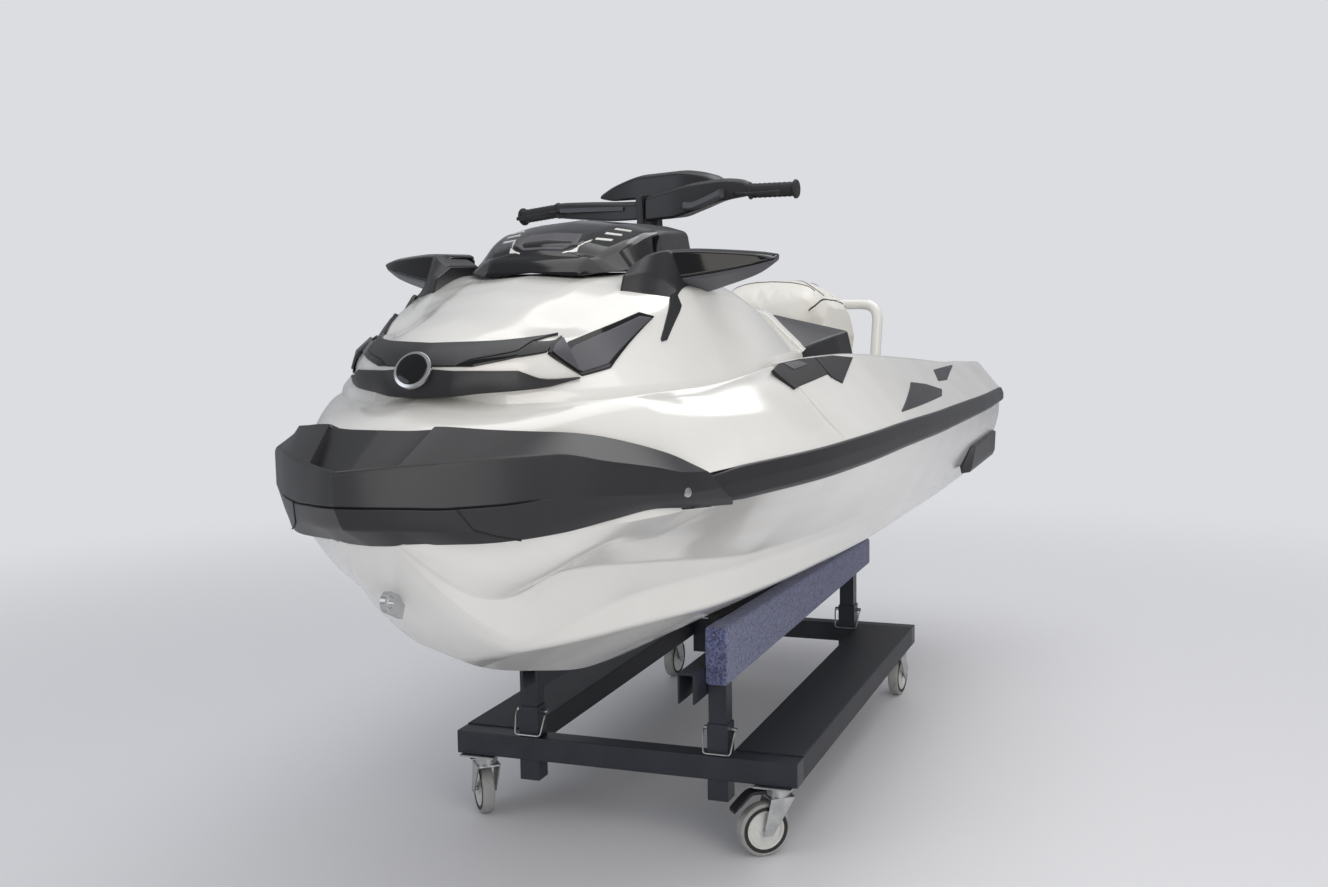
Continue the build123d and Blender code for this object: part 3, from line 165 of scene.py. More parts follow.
def grooved_foam(name, base, other, pitch_mm):
    """Slanting wave bands cut grooves into closed-cell foam."""
    material, tree, shader = shader_of(name, Roughness=0.85)
    place = add(tree, "TexCoord").outputs["Object"]
    bands = add(tree, "TexWave", {"wave_type": "BANDS", "bands_direction": "DIAGONAL",
                                  "Scale": 1 / (pitch_mm * MM * 3.2)}, {"Vector": place})
    groove = two_tone(tree, bands.outputs["Fac"], base, other, 0.12, 0.26)
    wire(tree, shader, groove, groove, 1.2)
    return material


carpet = carpet_finish()
foam = grooved_foam("traction_foam", "#3a3a3e", "#5a5a60", 16)
vinyl_white = moulded("white_marine_vinyl", "#dedbd3", "#e6e3dc", 0.42, 2.2, 0.10, cells=True)
vinyl_dark = moulded("charcoal_marine_vinyl", "#2c2b2d", "#353437", 0.5, 2.2, 0.14, cells=True)
print("materials:", len(bpy.data.materials))


# %% [markdown]
# The craft is a set of lofted shells. A table gives a few stations along the boat, a smooth
# curve runs through each column, and the corners of each section are rounded. Everything is
# worked out as whole arrays: stations by corners by coordinates.

# %% Surfaces from station tables
SHARP = 38      # degrees: an edge that turns more than this is shaded as an edge


def along(table, places):
    """Each column of a station table at the given places, on a monotone cubic through its rows."""
    table = np.asarray(table, float)
    knots, values = table[:, 0], table[:, 1:]
    step = np.diff(values, axis=0) / np.diff(knots)[:, None]
    grade = np.zeros_like(values)
    low, high = step[:-1], step[1:]
    same = low * high > 0
    grade[1:-1] = np.where(same, 2 * low * high / np.where(same, low + high, 1), 0)
    grade[0], grade[-1] = step[0], step[-1]
    i = np.clip(np.searchsorted(knots, places, side="right") - 1, 0, len(knots) - 2)
    span = (knots[i + 1] - knots[i])[:, None]
    t = np.clip((places - knots[i])[:, None] / span, 0, 1)
    return (values[i] * (1 + 2 * t) * (1 - t) ** 2 + grade[i] * span * t * (1 - t) ** 2
            + values[i + 1] * t * t * (3 - 2 * t) - grade[i + 1] * span * t * t * (1 - t))


def rounded(corners, radii, arc=5):
    """Swaps each inner corner for a quadratic curve that starts and ends `radius` from it."""
    corners = np.asarray(corners, float)
    here = corners[:, 1:-1]
    radii = np.broadcast_to(radii, here.shape[1])[None, :, None]

    def toward(other):
        gap = other - here
        length = np.maximum(np.linalg.norm(gap, axis=2, keepdims=True), 1e-6)
        return here + gap * np.minimum(radii, 0.45 * length) / length

    start, end = toward(corners[:, :-2]), toward(corners[:, 2:])
    t = np.linspace(0, 1, arc)[None, None, :, None]
    bend = ((1 - t) ** 2 * start[:, :, None] + 2 * t * (1 - t) * here[:, :, None]
            + t * t * end[:, :, None])
    bend = bend.reshape(len(corners), -1, corners.shape[2])
    return np.concatenate([corners[:, :1], bend, corners[:, -1:]], axis=1)


def halves(xs, corners, radii, arc=5):
    """Closed rings at stations xs from half-section corners (y, z), mirrored to starboard."""
    half = rounded(corners, radii, arc)
    x = np.broadcast_to(np.asarray(xs, float)[:, None, None], (*half.shape[:2], 1))
    half = np.concatenate([x, half], axis=2)
    return np.concatenate([half, half[:, -2:0:-1] * [1, -1, 1]], axis=1)


def pairs(*columns):
    """Stacks (y, z) column pairs into stations x corners x 2."""
    return np.stack([np.stack(np.broadcast_arrays(y, z), axis=-1) for y, z in columns], axis=1)


def linked(name, data):
    """New object for a mesh, a lamp or a camera, in the scene."""
    thing = bpy.data.objects.new(name, data)
    bpy.context.scene.collection.objects.link(thing)
    return thing


def shaded(name, mesh, sharp=SHARP):
    """Object for a mesh: smooth, with edges sharper than an angle marked."""
    mesh.shade_smooth()
    mesh.set_sharp_from_angle(angle=math.radians(sharp))
    return linked(name, mesh)


def surface(name, grid, ring=True, capped=True, sharp=SHARP):
    """Piece from a rows x columns x 3 grid of millimetres. A ring closes across the columns.

    Points that fall together are merged, and the faces are turned outwards.
    """
    rows, columns = grid.shape[:2]
    index = np.arange(rows * columns).reshape(rows, columns)
    if ring:
        index = np.concatenate([index, index[:, :1]], axis=1)
    quads = np.stack([index[:-1, :-1], index[:-1, 1:], index[1:, 1:], index[1:, :-1]], axis=-1)
    faces = quads.reshape(-1, 4).tolist()
    if capped:
        faces += [list(range(columns)), list(range((rows - 1) * columns, rows * columns))]
    mesh = bpy.data.meshes.new(name)
    mesh.from_pydata((grid.reshape(-1, 3) * MM).tolist(), [], faces)
    form = bmesh.new()
    form.from_mesh(mesh)
    bmesh.ops.remove_doubles(form, verts=form.verts, dist=0.02 * MM)
    bmesh.ops.dissolve_degenerate(form, edges=form.edges, dist=0.01 * MM)
    bmesh.ops.recalc_face_normals(form, faces=form.faces)
    form.to_mesh(mesh)
    form.free()
    return shaded(name, mesh, sharp)


def join(name, *pieces):
    """One object from several, their meshes side by side."""
    form = bmesh.new()
    for piece in pieces:
        form.from_mesh(piece.data)
        bpy.data.objects.remove(piece)
    mesh = bpy.data.meshes.new(name)
    form.to_mesh(mesh)
    form.free()
    return shaded(name, mesh)


def both_sides(name, grid):
    """A surface on the port side and its mirror image to starboard, as one object."""
    return join(name, surface(name, grid), surface(name + "_stbd", grid * [1, -1, 1]))


def across_centre(grid):
    """Rows of the port side from the centre line on, led in by their mirror image."""
    return np.concatenate([grid[:0:-1] * [1, -1, 1], grid], axis=0)


def block(low, high):
    """Closed box between two corners in millimetres, as a plain cutter."""
    form = bmesh.new()
    bmesh.ops.create_cube(form, size=1.0)
    low, high = Vector(low), Vector(high)
    bmesh.ops.scale(form, vec=(high - low) * MM, verts=form.verts)
    bmesh.ops.translate(form, vec=(high + low) / 2 * MM, verts=form.verts)
    mesh = bpy.data.meshes.new("cutter")
    form.to_mesh(mesh)
    form.free()
    return linked("cutter", mesh)


def cut(piece, *boxes):
    """Takes boxes, given by two corners each, out of a piece with exact Booleans."""
    cutters = [block(low, high) for low, high in boxes]
    for cutter in cutters:
        modifier = piece.modifiers.new("cut", "BOOLEAN")
        modifier.operation = "DIFFERENCE"
        modifier.solver = "EXACT"
        modifier.object = cutter
    settle(piece)
    for cutter in cutters:
        bpy.data.objects.remove(cutter)
    piece.data.set_sharp_from_angle(angle=math.radians(SHARP))
    return piece


def settle(piece):
    """Replaces a piece's mesh by its mesh with modifiers applied."""
    bpy.context.view_layer.update()
    evaluated = piece.evaluated_get(bpy.context.evaluated_depsgraph_get())
    mesh = bpy.data.meshes.new_from_object(evaluated)
    piece.modifiers.clear()
    piece.data = mesh
    return piece


def dress(piece, material, body, slot, *stands_for):
    """Gives a piece its material and its body, and hides the CAD nodes it stands for. The slot is not used.
    """
    piece.data.materials.clear()
    piece.data.materials.append(material)
    weighted = piece.modifiers.new("even shading", "WEIGHTED_NORMAL")
    weighted.keep_sharp = True
    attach(piece, body)
    if stands_for:
        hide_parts(*stands_for)
    print(piece.name, len(piece.data.polygons), "faces")
    return piece


def steps(low, high, gap, *extra):
    """Station places from low to high about `gap` apart, with exact extra ones."""
    count = max(int(round((high - low) / gap)), 1) + 1
    return np.unique(np.concatenate([np.linspace(low, high, count), extra]))


def stations(table, gap, *extra):
    """Station places over the whole of a table."""
    return steps(table[0][0], table[-1][0], gap, *extra)


# %% [markdown]
# Panels that lie on a shell follow its surface. A sheet is any function that gives points for two
# coordinates, such as the hood's flank by x and z. A strip is cut from a sheet between an upper
# and a lower line, lifted a little along the sheet's normal, and its edges are rounded off.

# %% Panels that lie on a sheet
OUTWARD = [1.0, 0.6, 0.8]       # roughly away from the craft's middle, on its port side


def lifted(place, s, t, lift, reach):
    """Sheet points moved along the normal: the cross product of differences `reach` apart."""
    s, t, lift = np.broadcast_arrays(s, t, lift)
    along_s = place(s + reach[0], t) - place(s - reach[0], t)
    along_t = place(s, t + reach[1]) - place(s, t - reach[1])
    normal = np.cross(along_s, along_t)
    normal = normal / np.maximum(np.linalg.norm(normal, axis=-1, keepdims=True), 1e-9)
    outward = np.where((normal @ OUTWARD)[..., None] < 0, -1.0, 1.0)
    return place(s, t) + normal * outward * lift[..., None]


def strip(name, place, upper, lower, lift, reach=(2.0, 2.0), sunk=5.0, soft=2.0, gap=14.0, both=True):
    """Panel between two lines of (s, t) points, with `soft` mm of rounding, and its mirror image.

    A panel that starts at s = 0, on the centre line, runs on to the other side in one piece.
    """
    upper, lower = np.array(upper, float), np.array(lower, float)
    first, last = max(upper[0, 0], lower[0, 0]), min(upper[-1, 0], lower[-1, 0])
    s = steps(first, last, gap * reach[0] / 2, *upper[:, 0], *lower[:, 0])
    s = s[(s >= first) & (s <= last)][:, None]
    high, low = np.interp(s, *upper.T), np.interp(s, *lower.T)
    width = np.linalg.norm(place(s, high) - place(s, low), axis=-1)
    edge = np.minimum(soft / np.maximum(width, 1e-6), 0.45)
    share = np.concatenate([0 * edge, 0 * edge, 0.3 * edge, edge, 0 * edge + 0.5, 1 - edge,
                            1 - 0.3 * edge, 0 * edge + 1, 0 * edge + 1], axis=1)
    rise = lift + np.array([-lift - sunk, -soft, -0.3 * soft, 0, 0, 0, -0.3 * soft, -soft, -lift - sunk])
    grid = lifted(place, s, low + (high - low) * share, rise, reach)
    if not both:
        return surface(name, grid)
    return surface(name, across_centre(grid)) if first == 0 else both_sides(name, grid)


def housing(name, table, radius=6.0, end=3.0, gap=8, arc=4, mirror=False, straight=False):
    """Moulded piece through closed sections in a table, with rounded corners and soft ends."""
    rows = np.array([np.ravel(row) for row in table], float)
    places = np.arange(len(rows))
    fine = np.linspace(0, len(rows) - 1, (len(rows) - 1) * gap + 1)
    if straight:
        c = np.stack([np.interp(fine, places, column) for column in rows.T], axis=1)
    else:
        c = along(np.column_stack([places, rows]), fine)
    c = c.reshape(len(fine), -1, 3)
    start = (c[:, :1] + c[:, -1:]) / 2
    grid = rounded(np.concatenate([start, c, start], axis=1), radius, arc)[:, :-1]
    caps = []
    for first, second in ((grid[0], grid[1]), (grid[-1], grid[-2])):
        centre = first.mean(axis=0)
        size = np.linalg.norm(first - centre, axis=1).mean()
        inward = (second - first).mean(axis=0)
        inward = inward / max(np.linalg.norm(inward), 1e-6)
        tight = centre + (first - centre) * (1 - min(end / size, 0.6))
        middle = centre + (first - centre) * (1 - 0.3 * min(end / size, 0.6)) + inward * end * 0.3
        caps.append((tight, middle, first + inward * end))
    grid = np.concatenate([[caps[0][0], caps[0][1], caps[0][2]], grid[1:-1],
                           [caps[1][2], caps[1][1], caps[1][0]]], axis=0)
    return both_sides(name, grid) if mirror else surface(name, grid)


def tube(name, path, radius, sides=12):
    """Round bar of one radius, or of one radius a point, along a path of points."""
    path = np.array(path, float)
    ahead = np.roll(path, -1, axis=0) - np.roll(path, 1, axis=0)
    ahead[0], ahead[-1] = path[1] - path[0], path[-1] - path[-2]
    ahead /= np.linalg.norm(ahead, axis=1, keepdims=True)
    guide = np.array([0.0, 0.0, 1.0]) if np.abs(ahead[:, 2]).max() < 0.9 else np.array([0.31, 0.95, 0.0])
    one = np.cross(ahead, guide)
    one /= np.linalg.norm(one, axis=1, keepdims=True)
    two = np.cross(ahead, one)
    turn = np.linspace(0, 2 * math.pi, sides, endpoint=False)[None, :, None]
    size = np.broadcast_to(radius, len(path))[:, None, None]
    return surface(name, path[:, None] + size * (np.cos(turn) * one[:, None] + np.sin(turn) * two[:, None]))


def slab(name, outline, centre, across, up, thick):
    """Flat plate: an outline of (a, b) points in the plane of two directions, its edge broken."""
    across, up = (np.array(v, float) / np.linalg.norm(v) for v in (across, up))
    out = np.cross(across, up)
    flat = np.array(outline, float)
    middle = flat.mean(axis=0)
    rows = []
    for inset, height in ((0.0, 0.0), (0.0, thick - 0.8), (0.8, thick)):
        reach = np.linalg.norm(flat - middle, axis=1, keepdims=True)
        ring = middle + (flat - middle) * (1 - inset / reach)
        rows.append(np.array(centre) + ring[:, :1] * across + ring[:, 1:] * up + out * height)
    return surface(name, np.array(rows))


def circle_about(axis, sides):
    """An axis at length one, and a unit circle round it whose last point is its first again."""
    axis = np.array(axis, float) / np.linalg.norm(axis)
    one = np.cross(axis, [0.0, 0.0, 1.0])
    one /= np.linalg.norm(one)
    turn = np.linspace(0, 2 * math.pi, sides + 1)[:, None]
    return axis, np.cos(turn) * one + np.sin(turn) * np.cross(axis, one)


def round_plate(name, centre, axis, radius, thick, dome, sides=48):
    """Round plate or badge: shrinking rings, edge rounded, face raised by a shallow dome."""
    axis, circle = circle_about(axis, sides)
    rows = [(1.0, 0.0), (1.0, thick - 0.8), (0.97, thick), (0.72, thick + 0.7 * dome),
            (0.35, thick + dome), (0.02, thick + 1.1 * dome)]
    rings = [np.array(centre) + circle[:-1] * radius * r + axis * h for r, h in rows]
    return surface(name, np.array(rings))


# %% [markdown]
# The hull is a glossy moulding: a deep V bottom, a hard chine, a knuckle above it, and a
# faint crease where the flared topside turns into the belly of the bow. It is one loft from
# transom to stem. The pump tunnel, the intake duct and the engine bay are cut out of it.

# %% Hull
HULL = [  # x, keel z, chine y z, knuckle y z, crease y z, belly y z, rail y, rail low z
    (-1690, 390, 485, 622, 536, 700, 548, 722, 575, 810, 592, 868),
    (-1000, 402, 490, 636, 537, 706, 550, 730, 594, 822, 622, 888),
    (-300, 414, 478, 646, 520, 712, 536, 736, 590, 835, 627, 905),
    (300, 430, 415, 640, 450, 713, 468, 738, 546, 832, 606, 915),
    (700, 464, 325, 632, 352, 710, 375, 738, 474, 830, 568, 915),
    (1000, 530, 190, 628, 205, 695, 262, 772, 388, 845, 500, 915),
    (1250, 603, 112, 642, 126, 668, 176, 796, 292, 855, 408, 908),
    (1450, 708, 64, 722, 90, 734, 116, 750, 178, 800, 285, 905),
    (1540, 788, 50, 793, 76, 801, 106, 816, 148, 848, 208, 904),
    (1596, 862, 44, 866, 68, 871, 92, 879, 116, 888, 152, 902),
    (1612, 897, 24, 898, 40, 899, 52, 900, 64, 901, 90, 903),
]
RAIL_WIDTH = 30
RAIL_PROUD = 14
RAIL_TALL = [(-1690, 46), (-500, 55), (600, 62)]      # x, height
BOND_RISE = 42
SHELL_GAP = 0.5
WELL_Z = 780
BUMPER_REAR_X = 1170
CALM_FROM_X, CALM_FULL_X, CALM_ROUNDS = 1300, 1450, 16
PUMP_TUNNEL = (-1700, -170, 300), (-1010, 170, 748)
INTAKE_DUCT = (-1012, -95, 350), (-600, 95, 640)
ENGINE_BAY = (-600, -185, 530), (80, 185, 1100)
SEAT_OPENING = (-600, -185, 700), (80, 185, 1200)
STORAGE_BIN = (690, -104, 975), (950, 104, 1420)


def rail_line(xs):
    """Rail's outer y, bottom z and top z along the boat."""
    outer, low = along(HULL, xs)[:, [9, 10]].T
    return outer, low, low + np.interp(xs, *np.array(RAIL_TALL).T)


def flange(xs):
    """Outer edge of the bonding flange, under the rail or short of the bumper."""
    outer = rail_line(xs)[0]
    return np.where(xs < BUMPER_REAR_X, outer - RAIL_PROUD, outer - RAIL_WIDTH)


def smooth_step(x, low, high):
    """Nothing up to `low`, one from `high` on, and the S curve t t (3 - 2 t) between them."""
    t = np.clip((x - low) / (high - low), 0, 1)
    return t * t * (3 - 2 * t)


def hull_rings(xs):
    """Hull sections: keel to flange, up inside the rail, and down the inner wall to its floor."""
    c = along(HULL, xs).T
    inner = c[9] - RAIL_WIDTH - SHELL_GAP
    bond = c[10] + BOND_RISE
    well = np.minimum(c[3] - 14, inner)
    well_z = np.maximum(WELL_Z, c[0] + 8)
    corners = pairs((0, c[0]), (c[1], c[2]), (c[3], c[4]), (c[5], c[6]), (c[7], c[8]),
                    (flange(xs), c[10]), (inner, c[10]), (inner, bond), (well, bond),
                    (well, well_z), (0, well_z))
    return halves(xs, corners, np.array([14, 9, 7, 90, 3, 2, 2, 4, 4]), arc=6)


hull_xs = stations(HULL, 24)
hull_grid = hull_rings(hull_xs)
# In the bow each row is drawn towards the middle of its neighbours, which takes the ripples out.
calm = smooth_step(hull_xs, CALM_FROM_X, CALM_FULL_X)[1:-1, None, None] / 2
for _ in range(CALM_ROUNDS):
    hull_grid[1:-1] += calm * (hull_grid[:-2] + hull_grid[2:] - 2 * hull_grid[1:-1])
hull = cut(surface("hull_shell", hull_grid), PUMP_TUNNEL, INTAKE_DUCT, ENGINE_BAY)
dress(hull, gelcoat, "root", "gelcoat_white", "hull")


# %% [markdown]
# The deck aft of the helm holds the seat pedestal, two footwells and the rear platform between
# raised gunwales. Its section has the same corners everywhere; the footwell's depth grows from
# nothing to full over a short ramp at each end, so the well closes smoothly.

# %% Deck
DECK = [  # x, ridge y z, centre z, pedestal edge y, floor inner y, floor outer y, well edge y
    (-1690, 500, 1008, 932, 300, 330, 420, 430),
    (-1310, 492, 1032, 932, 262, 262, 424, 434),
    (-1299, 491, 1033, 1020, 226, 225, 430, 438),
    (-1100, 488, 1042, 1020, 238, 228, 430, 440),
    (-700, 480, 1074, 1020, 258, 231, 430, 442),
    (-200, 478, 1112, 1020, 304, 256, 428, 440),
    (110, 470, 1135, 1020, 326, 277, 418, 430),
    (250, 455, 1142, 1050, 338, 290, 405, 418),
    (500, 425, 1145, 1095, 322, 295, 370, 382),
    (620, 412, 1142, 1120, 305, 291, 350, 360),
]
FLOOR_Z = 800
WELL_ENDS = (-1250, -1190, 470, 585)


def deck_rings(xs):
    """Deck sections: centre to ridge by way of the footwell, down inside the rail and back."""
    c = along(DECK, xs).T
    outer, low, high = rail_line(xs)
    depth = smooth_step(xs, *WELL_ENDS[:2]) * (1 - smooth_step(xs, *WELL_ENDS[2:]))
    side_z = np.minimum(c[2], c[1] - 40)
    floor = side_z + (FLOOR_Z - side_z) * depth
    lip = c[1] - 34
    inner = outer - RAIL_WIDTH - SHELL_GAP
    top, bond = high + SHELL_GAP, low + BOND_RISE + SHELL_GAP
    knuckle = along(HULL, xs)[:, 3] - 13
    corners = pairs((0, c[2]), (c[3], c[2]), (c[4], floor), (c[5], floor), (c[6], lip),
                    (c[0] - 14, c[1] - 2), (c[0], c[1]), (flange(xs), top), (inner, top), (inner, bond),
                    (knuckle, bond), (knuckle, WELL_Z + SHELL_GAP), (0 * xs, WELL_Z + SHELL_GAP))
    return halves(xs, corners, np.array([26, 34, 30, 18, 14, 12, 3, 2, 2, 3, 3]), arc=6)


deck_xs = stations(DECK, 20, -1310, -1306, -1303, -1299, *WELL_ENDS)
deck = cut(surface("deck_shell", deck_rings(deck_xs)), SEAT_OPENING)
dress(deck, gelcoat, "root", "gelcoat_white", "deck")

# %% [markdown]
# Ahead of the helm the deck is a low white shell: a rounded top, a hard shoulder that runs
# forward beside the hood, and flanks that drop to the rail or tuck under the bow bumper.

# %% Foredeck
FOREDECK = [  # x, centre z, high shoulder y z, low shoulder y z, foot y z
    (620.5, 1146, 412, 1142, 468, 1079, 520, 1018),
    (800, 1160, 388, 1132, 456, 1075, 508, 1016),
    (1000, 1162, 350, 1122, 421, 1075, 464, 1008),
    (1190, 1152, 306, 1125, 362, 1072, 402, 992),
    (1300, 1142, 270, 1112, 300, 1058, 316, 1020),
    (1400, 1130, 222, 1096, 246, 1052, 256, 1030),
    (1500, 1108, 150, 1084, 186, 1056, 200, 1036),
    (1560, 1080, 78, 1072, 104, 1056, 120, 1034),
    (1592, 1050, 36, 1046, 70, 1030, 90, 1010),
]


def foredeck_rings(xs):
    """Foredeck sections: centre, two shoulders and foot, then in under the rail and back."""
    c = along(FOREDECK, xs).T
    outer, low, high = rail_line(xs)
    inner = outer - RAIL_WIDTH - SHELL_GAP
    edge = np.where(xs < BUMPER_REAR_X, flange(xs), inner)
    top, bond = high + SHELL_GAP, low + BOND_RISE + SHELL_GAP
    corners = pairs((0, c[0]), (c[1], c[2]), (c[3], c[4]), (c[5], c[6]), (edge, top),
                    (inner, top - 0.02), (inner, bond), (0, bond))
    return halves(xs, corners, np.array([70, 30, 16, 3, 1, 3]), arc=7)


foredeck = cut(surface("foredeck_shell", foredeck_rings(stations(FOREDECK, 16))), STORAGE_BIN)
dress(foredeck, gelcoat, "root", "gelcoat_white", "foredeck")

# %% [markdown]
# The hood is the raised housing that carries the cowl and the nose panel. A flank leans in to an
# edge, a crest runs forward from each mirror, and inside it the surface rises a little to a crease
# and the plateau in the middle. Ahead of the mirrors all of them fall and narrow towards the nose.

# %% Hood
HOOD = [  # x, foot y z, edge y z, crest y z, crease y z, centre z
    (362, 398, 1152, 302, 1238, 262, 1252, 236, 1256, 1258),
    (500, 402, 1150, 312, 1268, 250, 1296, 200, 1304, 1306),
    (640, 396, 1146, 320, 1292, 244, 1332, 192, 1339, 1341),
    (850, 378, 1132, 306, 1302, 235, 1337, 150, 1339, 1340),
    (1000, 348, 1122, 284, 1268, 215, 1304, 122, 1322, 1334),
    (1100, 326, 1126, 250, 1250, 186, 1270, 112, 1298, 1313),
    (1200, 300, 1130, 212, 1224, 152, 1238, 100, 1268, 1284),
    (1300, 232, 1128, 150, 1214, 118, 1228, 92, 1240, 1256),
    (1353, 166, 1128, 102, 1210, 90, 1217, 75, 1222, 1236),
    (1385, 120, 1126, 60, 1206, 52, 1210, 42, 1214, 1222),
]


def hood_rings(xs):
    """Hood sections: a flat underside sunk into the foredeck, then foot, edge, crest and plateau."""
    c = along(HOOD, xs).T
    under = c[1] - 30
    corners = pairs((0, under), (c[0] + 4, under), (c[0], c[1]), (c[2], c[3]), (c[4], c[5]),
                    (c[6], c[7]), (0, c[8]))
    return halves(xs, corners, np.array([2, 10, 14, 20, 16]), arc=6)


hood = cut(surface("hood_shell", hood_rings(stations(HOOD, 12))), STORAGE_BIN)
dress(hood, gelcoat, "root", "gelcoat_white", "hood")


# %% [markdown]
# The hood's nose is a wide convex band. Its table gives the band's top and bottom lines from the
# centre round to the flank, and how far the middle bulges. A white backing closes the hood. The
# charcoal panels, the gloss streak and the blank round badge sit on it.

# %% Nose band and hexagonal panels
NOSE = [  # place, top x y z, bottom x y z, bulge
    (0, 1391, 0, 1218, 1450, 0, 1129, 26),
    (1, 1376, 50, 1219, 1437, 50, 1131, 26),
    (2, 1353, 100, 1220, 1407, 100, 1136, 24),
    (3, 1318, 138, 1223, 1372, 150, 1138, 22),
    (4, 1285, 160, 1226, 1330, 188, 1141, 22),
    (5, 1243, 180, 1229, 1268, 232, 1155, 24),
]
FORWARD = np.array([0.86, 0.3, 0.42])


def nose_band(s, t):
    """Straight from top to bottom line, pushed forward by the bulge times 4 t (1 - t)."""
    s, t = np.broadcast_arrays(s, t)
    c = along(NOSE, np.abs(s).ravel()).reshape(*s.shape, 7)
    side = np.where(s < 0, -1.0, 1.0)[..., None] * [0, 1, 0] + [1, 0, 1]
    sideways = FORWARD[1] * np.minimum(np.abs(s), 1)
    lean = np.stack([0 * s + FORWARD[0], sideways, 0 * s + FORWARD[2]], axis=-1)
    push = (c[..., 6] * 4 * t * (1 - t))[..., None] * lean
    return (c[..., :3] + (c[..., 3:6] - c[..., :3]) * t[..., None] + push) * side


def hood_flank(x, z):
    """Point of the hood's flank at x and z, on the line from its foot to its edge."""
    x, z = np.broadcast_arrays(x, z)
    c = along(HOOD, x.ravel()).reshape(*x.shape, 9)
    y = c[..., 0] + (c[..., 2] - c[..., 0]) * (z - c[..., 1]) / (c[..., 3] - c[..., 1])
    return np.stack([x, y, z], axis=-1)


NOSE_REACH = (0.04, 0.02)
BADGE_AXIS = (0.86, 0, 0.5)
places, across = np.linspace(0, 5, 51)[:, None], np.linspace(0, 1, 15)[None, :]
face = nose_band(places, across)
back = (face - [70, 0, 4]) * [1, 0.75, 1]
ring = np.concatenate([face, back[:, ::-1]], axis=1)
backing = surface("nose_backing", across_centre(ring))
dress(backing, gelcoat, "root", "gelcoat_white")

TOP_STRIP = [(0, 0.52), (1.15, 0.55), (1.55, 0.45), (3.0, 0.325), (3.65, 0.125), (4.5, 0.03), (4.95, 0.0)]
STREAK_LOW = [(1.15, 0.55), (1.7, 0.575), (3.0, 0.45), (4.25, 0.425), (4.7, 0.2)]
LIP = [(0, 0.56), (1.2, 0.63), (3.1, 0.7), (3.85, 0.85), (4.95, 0.99)]
upper_panel = strip("nose_upper_panel", nose_band, [(0, 0.0), (4.95, 0.0)], TOP_STRIP, 5, NOSE_REACH)
lower_panel = strip("nose_lower_panel", nose_band, LIP, [(0, 1.0), (4.95, 1.0)], 9, NOSE_REACH, soft=4)
dress(join("nose_panels", upper_panel, lower_panel), charcoal, "root", "satin_charcoal", "nose_panel")
streak = strip("nose_streak", nose_band, TOP_STRIP[1:5] + [(4.7, 0.2)], STREAK_LOW, 4, NOSE_REACH)
dress(streak, gloss_black, "root", "gloss_black")
badge_at = nose_band(np.array([0.0]), np.array([0.62]))[0] + [6, 0, 3]
dress(round_plate("blank_badge", badge_at, BADGE_AXIS, 35, 6, 2), stainless, "root", "stainless")
badge_face = round_plate("badge_face", badge_at + [5, 0, 3], BADGE_AXIS, 29, 3.6, 2)
dress(badge_face, gloss_black, "root", "gloss_black")

tip_rim = strip("hexagon_tip_rim", nose_band, [(4.28, 0.44), (4.45, 0.28), (5.0, 0.1)],
                [(4.28, 0.46), (5.0, 0.97)], 5, NOSE_REACH)
dress(tip_rim, gloss_black, "root", "gloss_black")
tip = strip("hexagon_tip", nose_band, [(4.42, 0.44), (4.55, 0.34), (5.0, 0.2)],
            [(4.42, 0.46), (5.0, 0.9)], 7.5, NOSE_REACH)
dress(tip, grey_panel, "root", "satin_charcoal")

HEX_TOP = [(1027, 1255), (1058, 1264), (1238, 1216), (1272, 1199), (1281, 1190)]
HEX_BOTTOM = [(1027, 1253), (1203, 1167), (1266, 1156), (1281, 1188)]
rim = strip("hexagon_rim", hood_flank, HEX_TOP, HEX_BOTTOM, 3.5)
dress(rim, gloss_black, "root", "gloss_black")
INNER_TOP = [(1037, 1251), (1064, 1255), (1236, 1207), (1266, 1192), (1274, 1186)]
INNER_BOTTOM = [(1037, 1250), (1206, 1172), (1262, 1161), (1274, 1184)]
inner = strip("hexagon_inset", hood_flank, INNER_TOP, INNER_BOTTOM, 6)
dress(inner, grey_panel, "root", "satin_charcoal", "hex_panels")

# %% [markdown]
# The bow bumper is a satin charcoal moulding that wraps the stem. In plan it is a blunt arrow, so
# its sections stand across a path round the bow. Each row of the table is one section: the line
# where it meets the white deck, the rim, a groove, the lower break and the bottom edge. On top a
# flat tray is let in between the two slabs, and the groove runs round the front only.

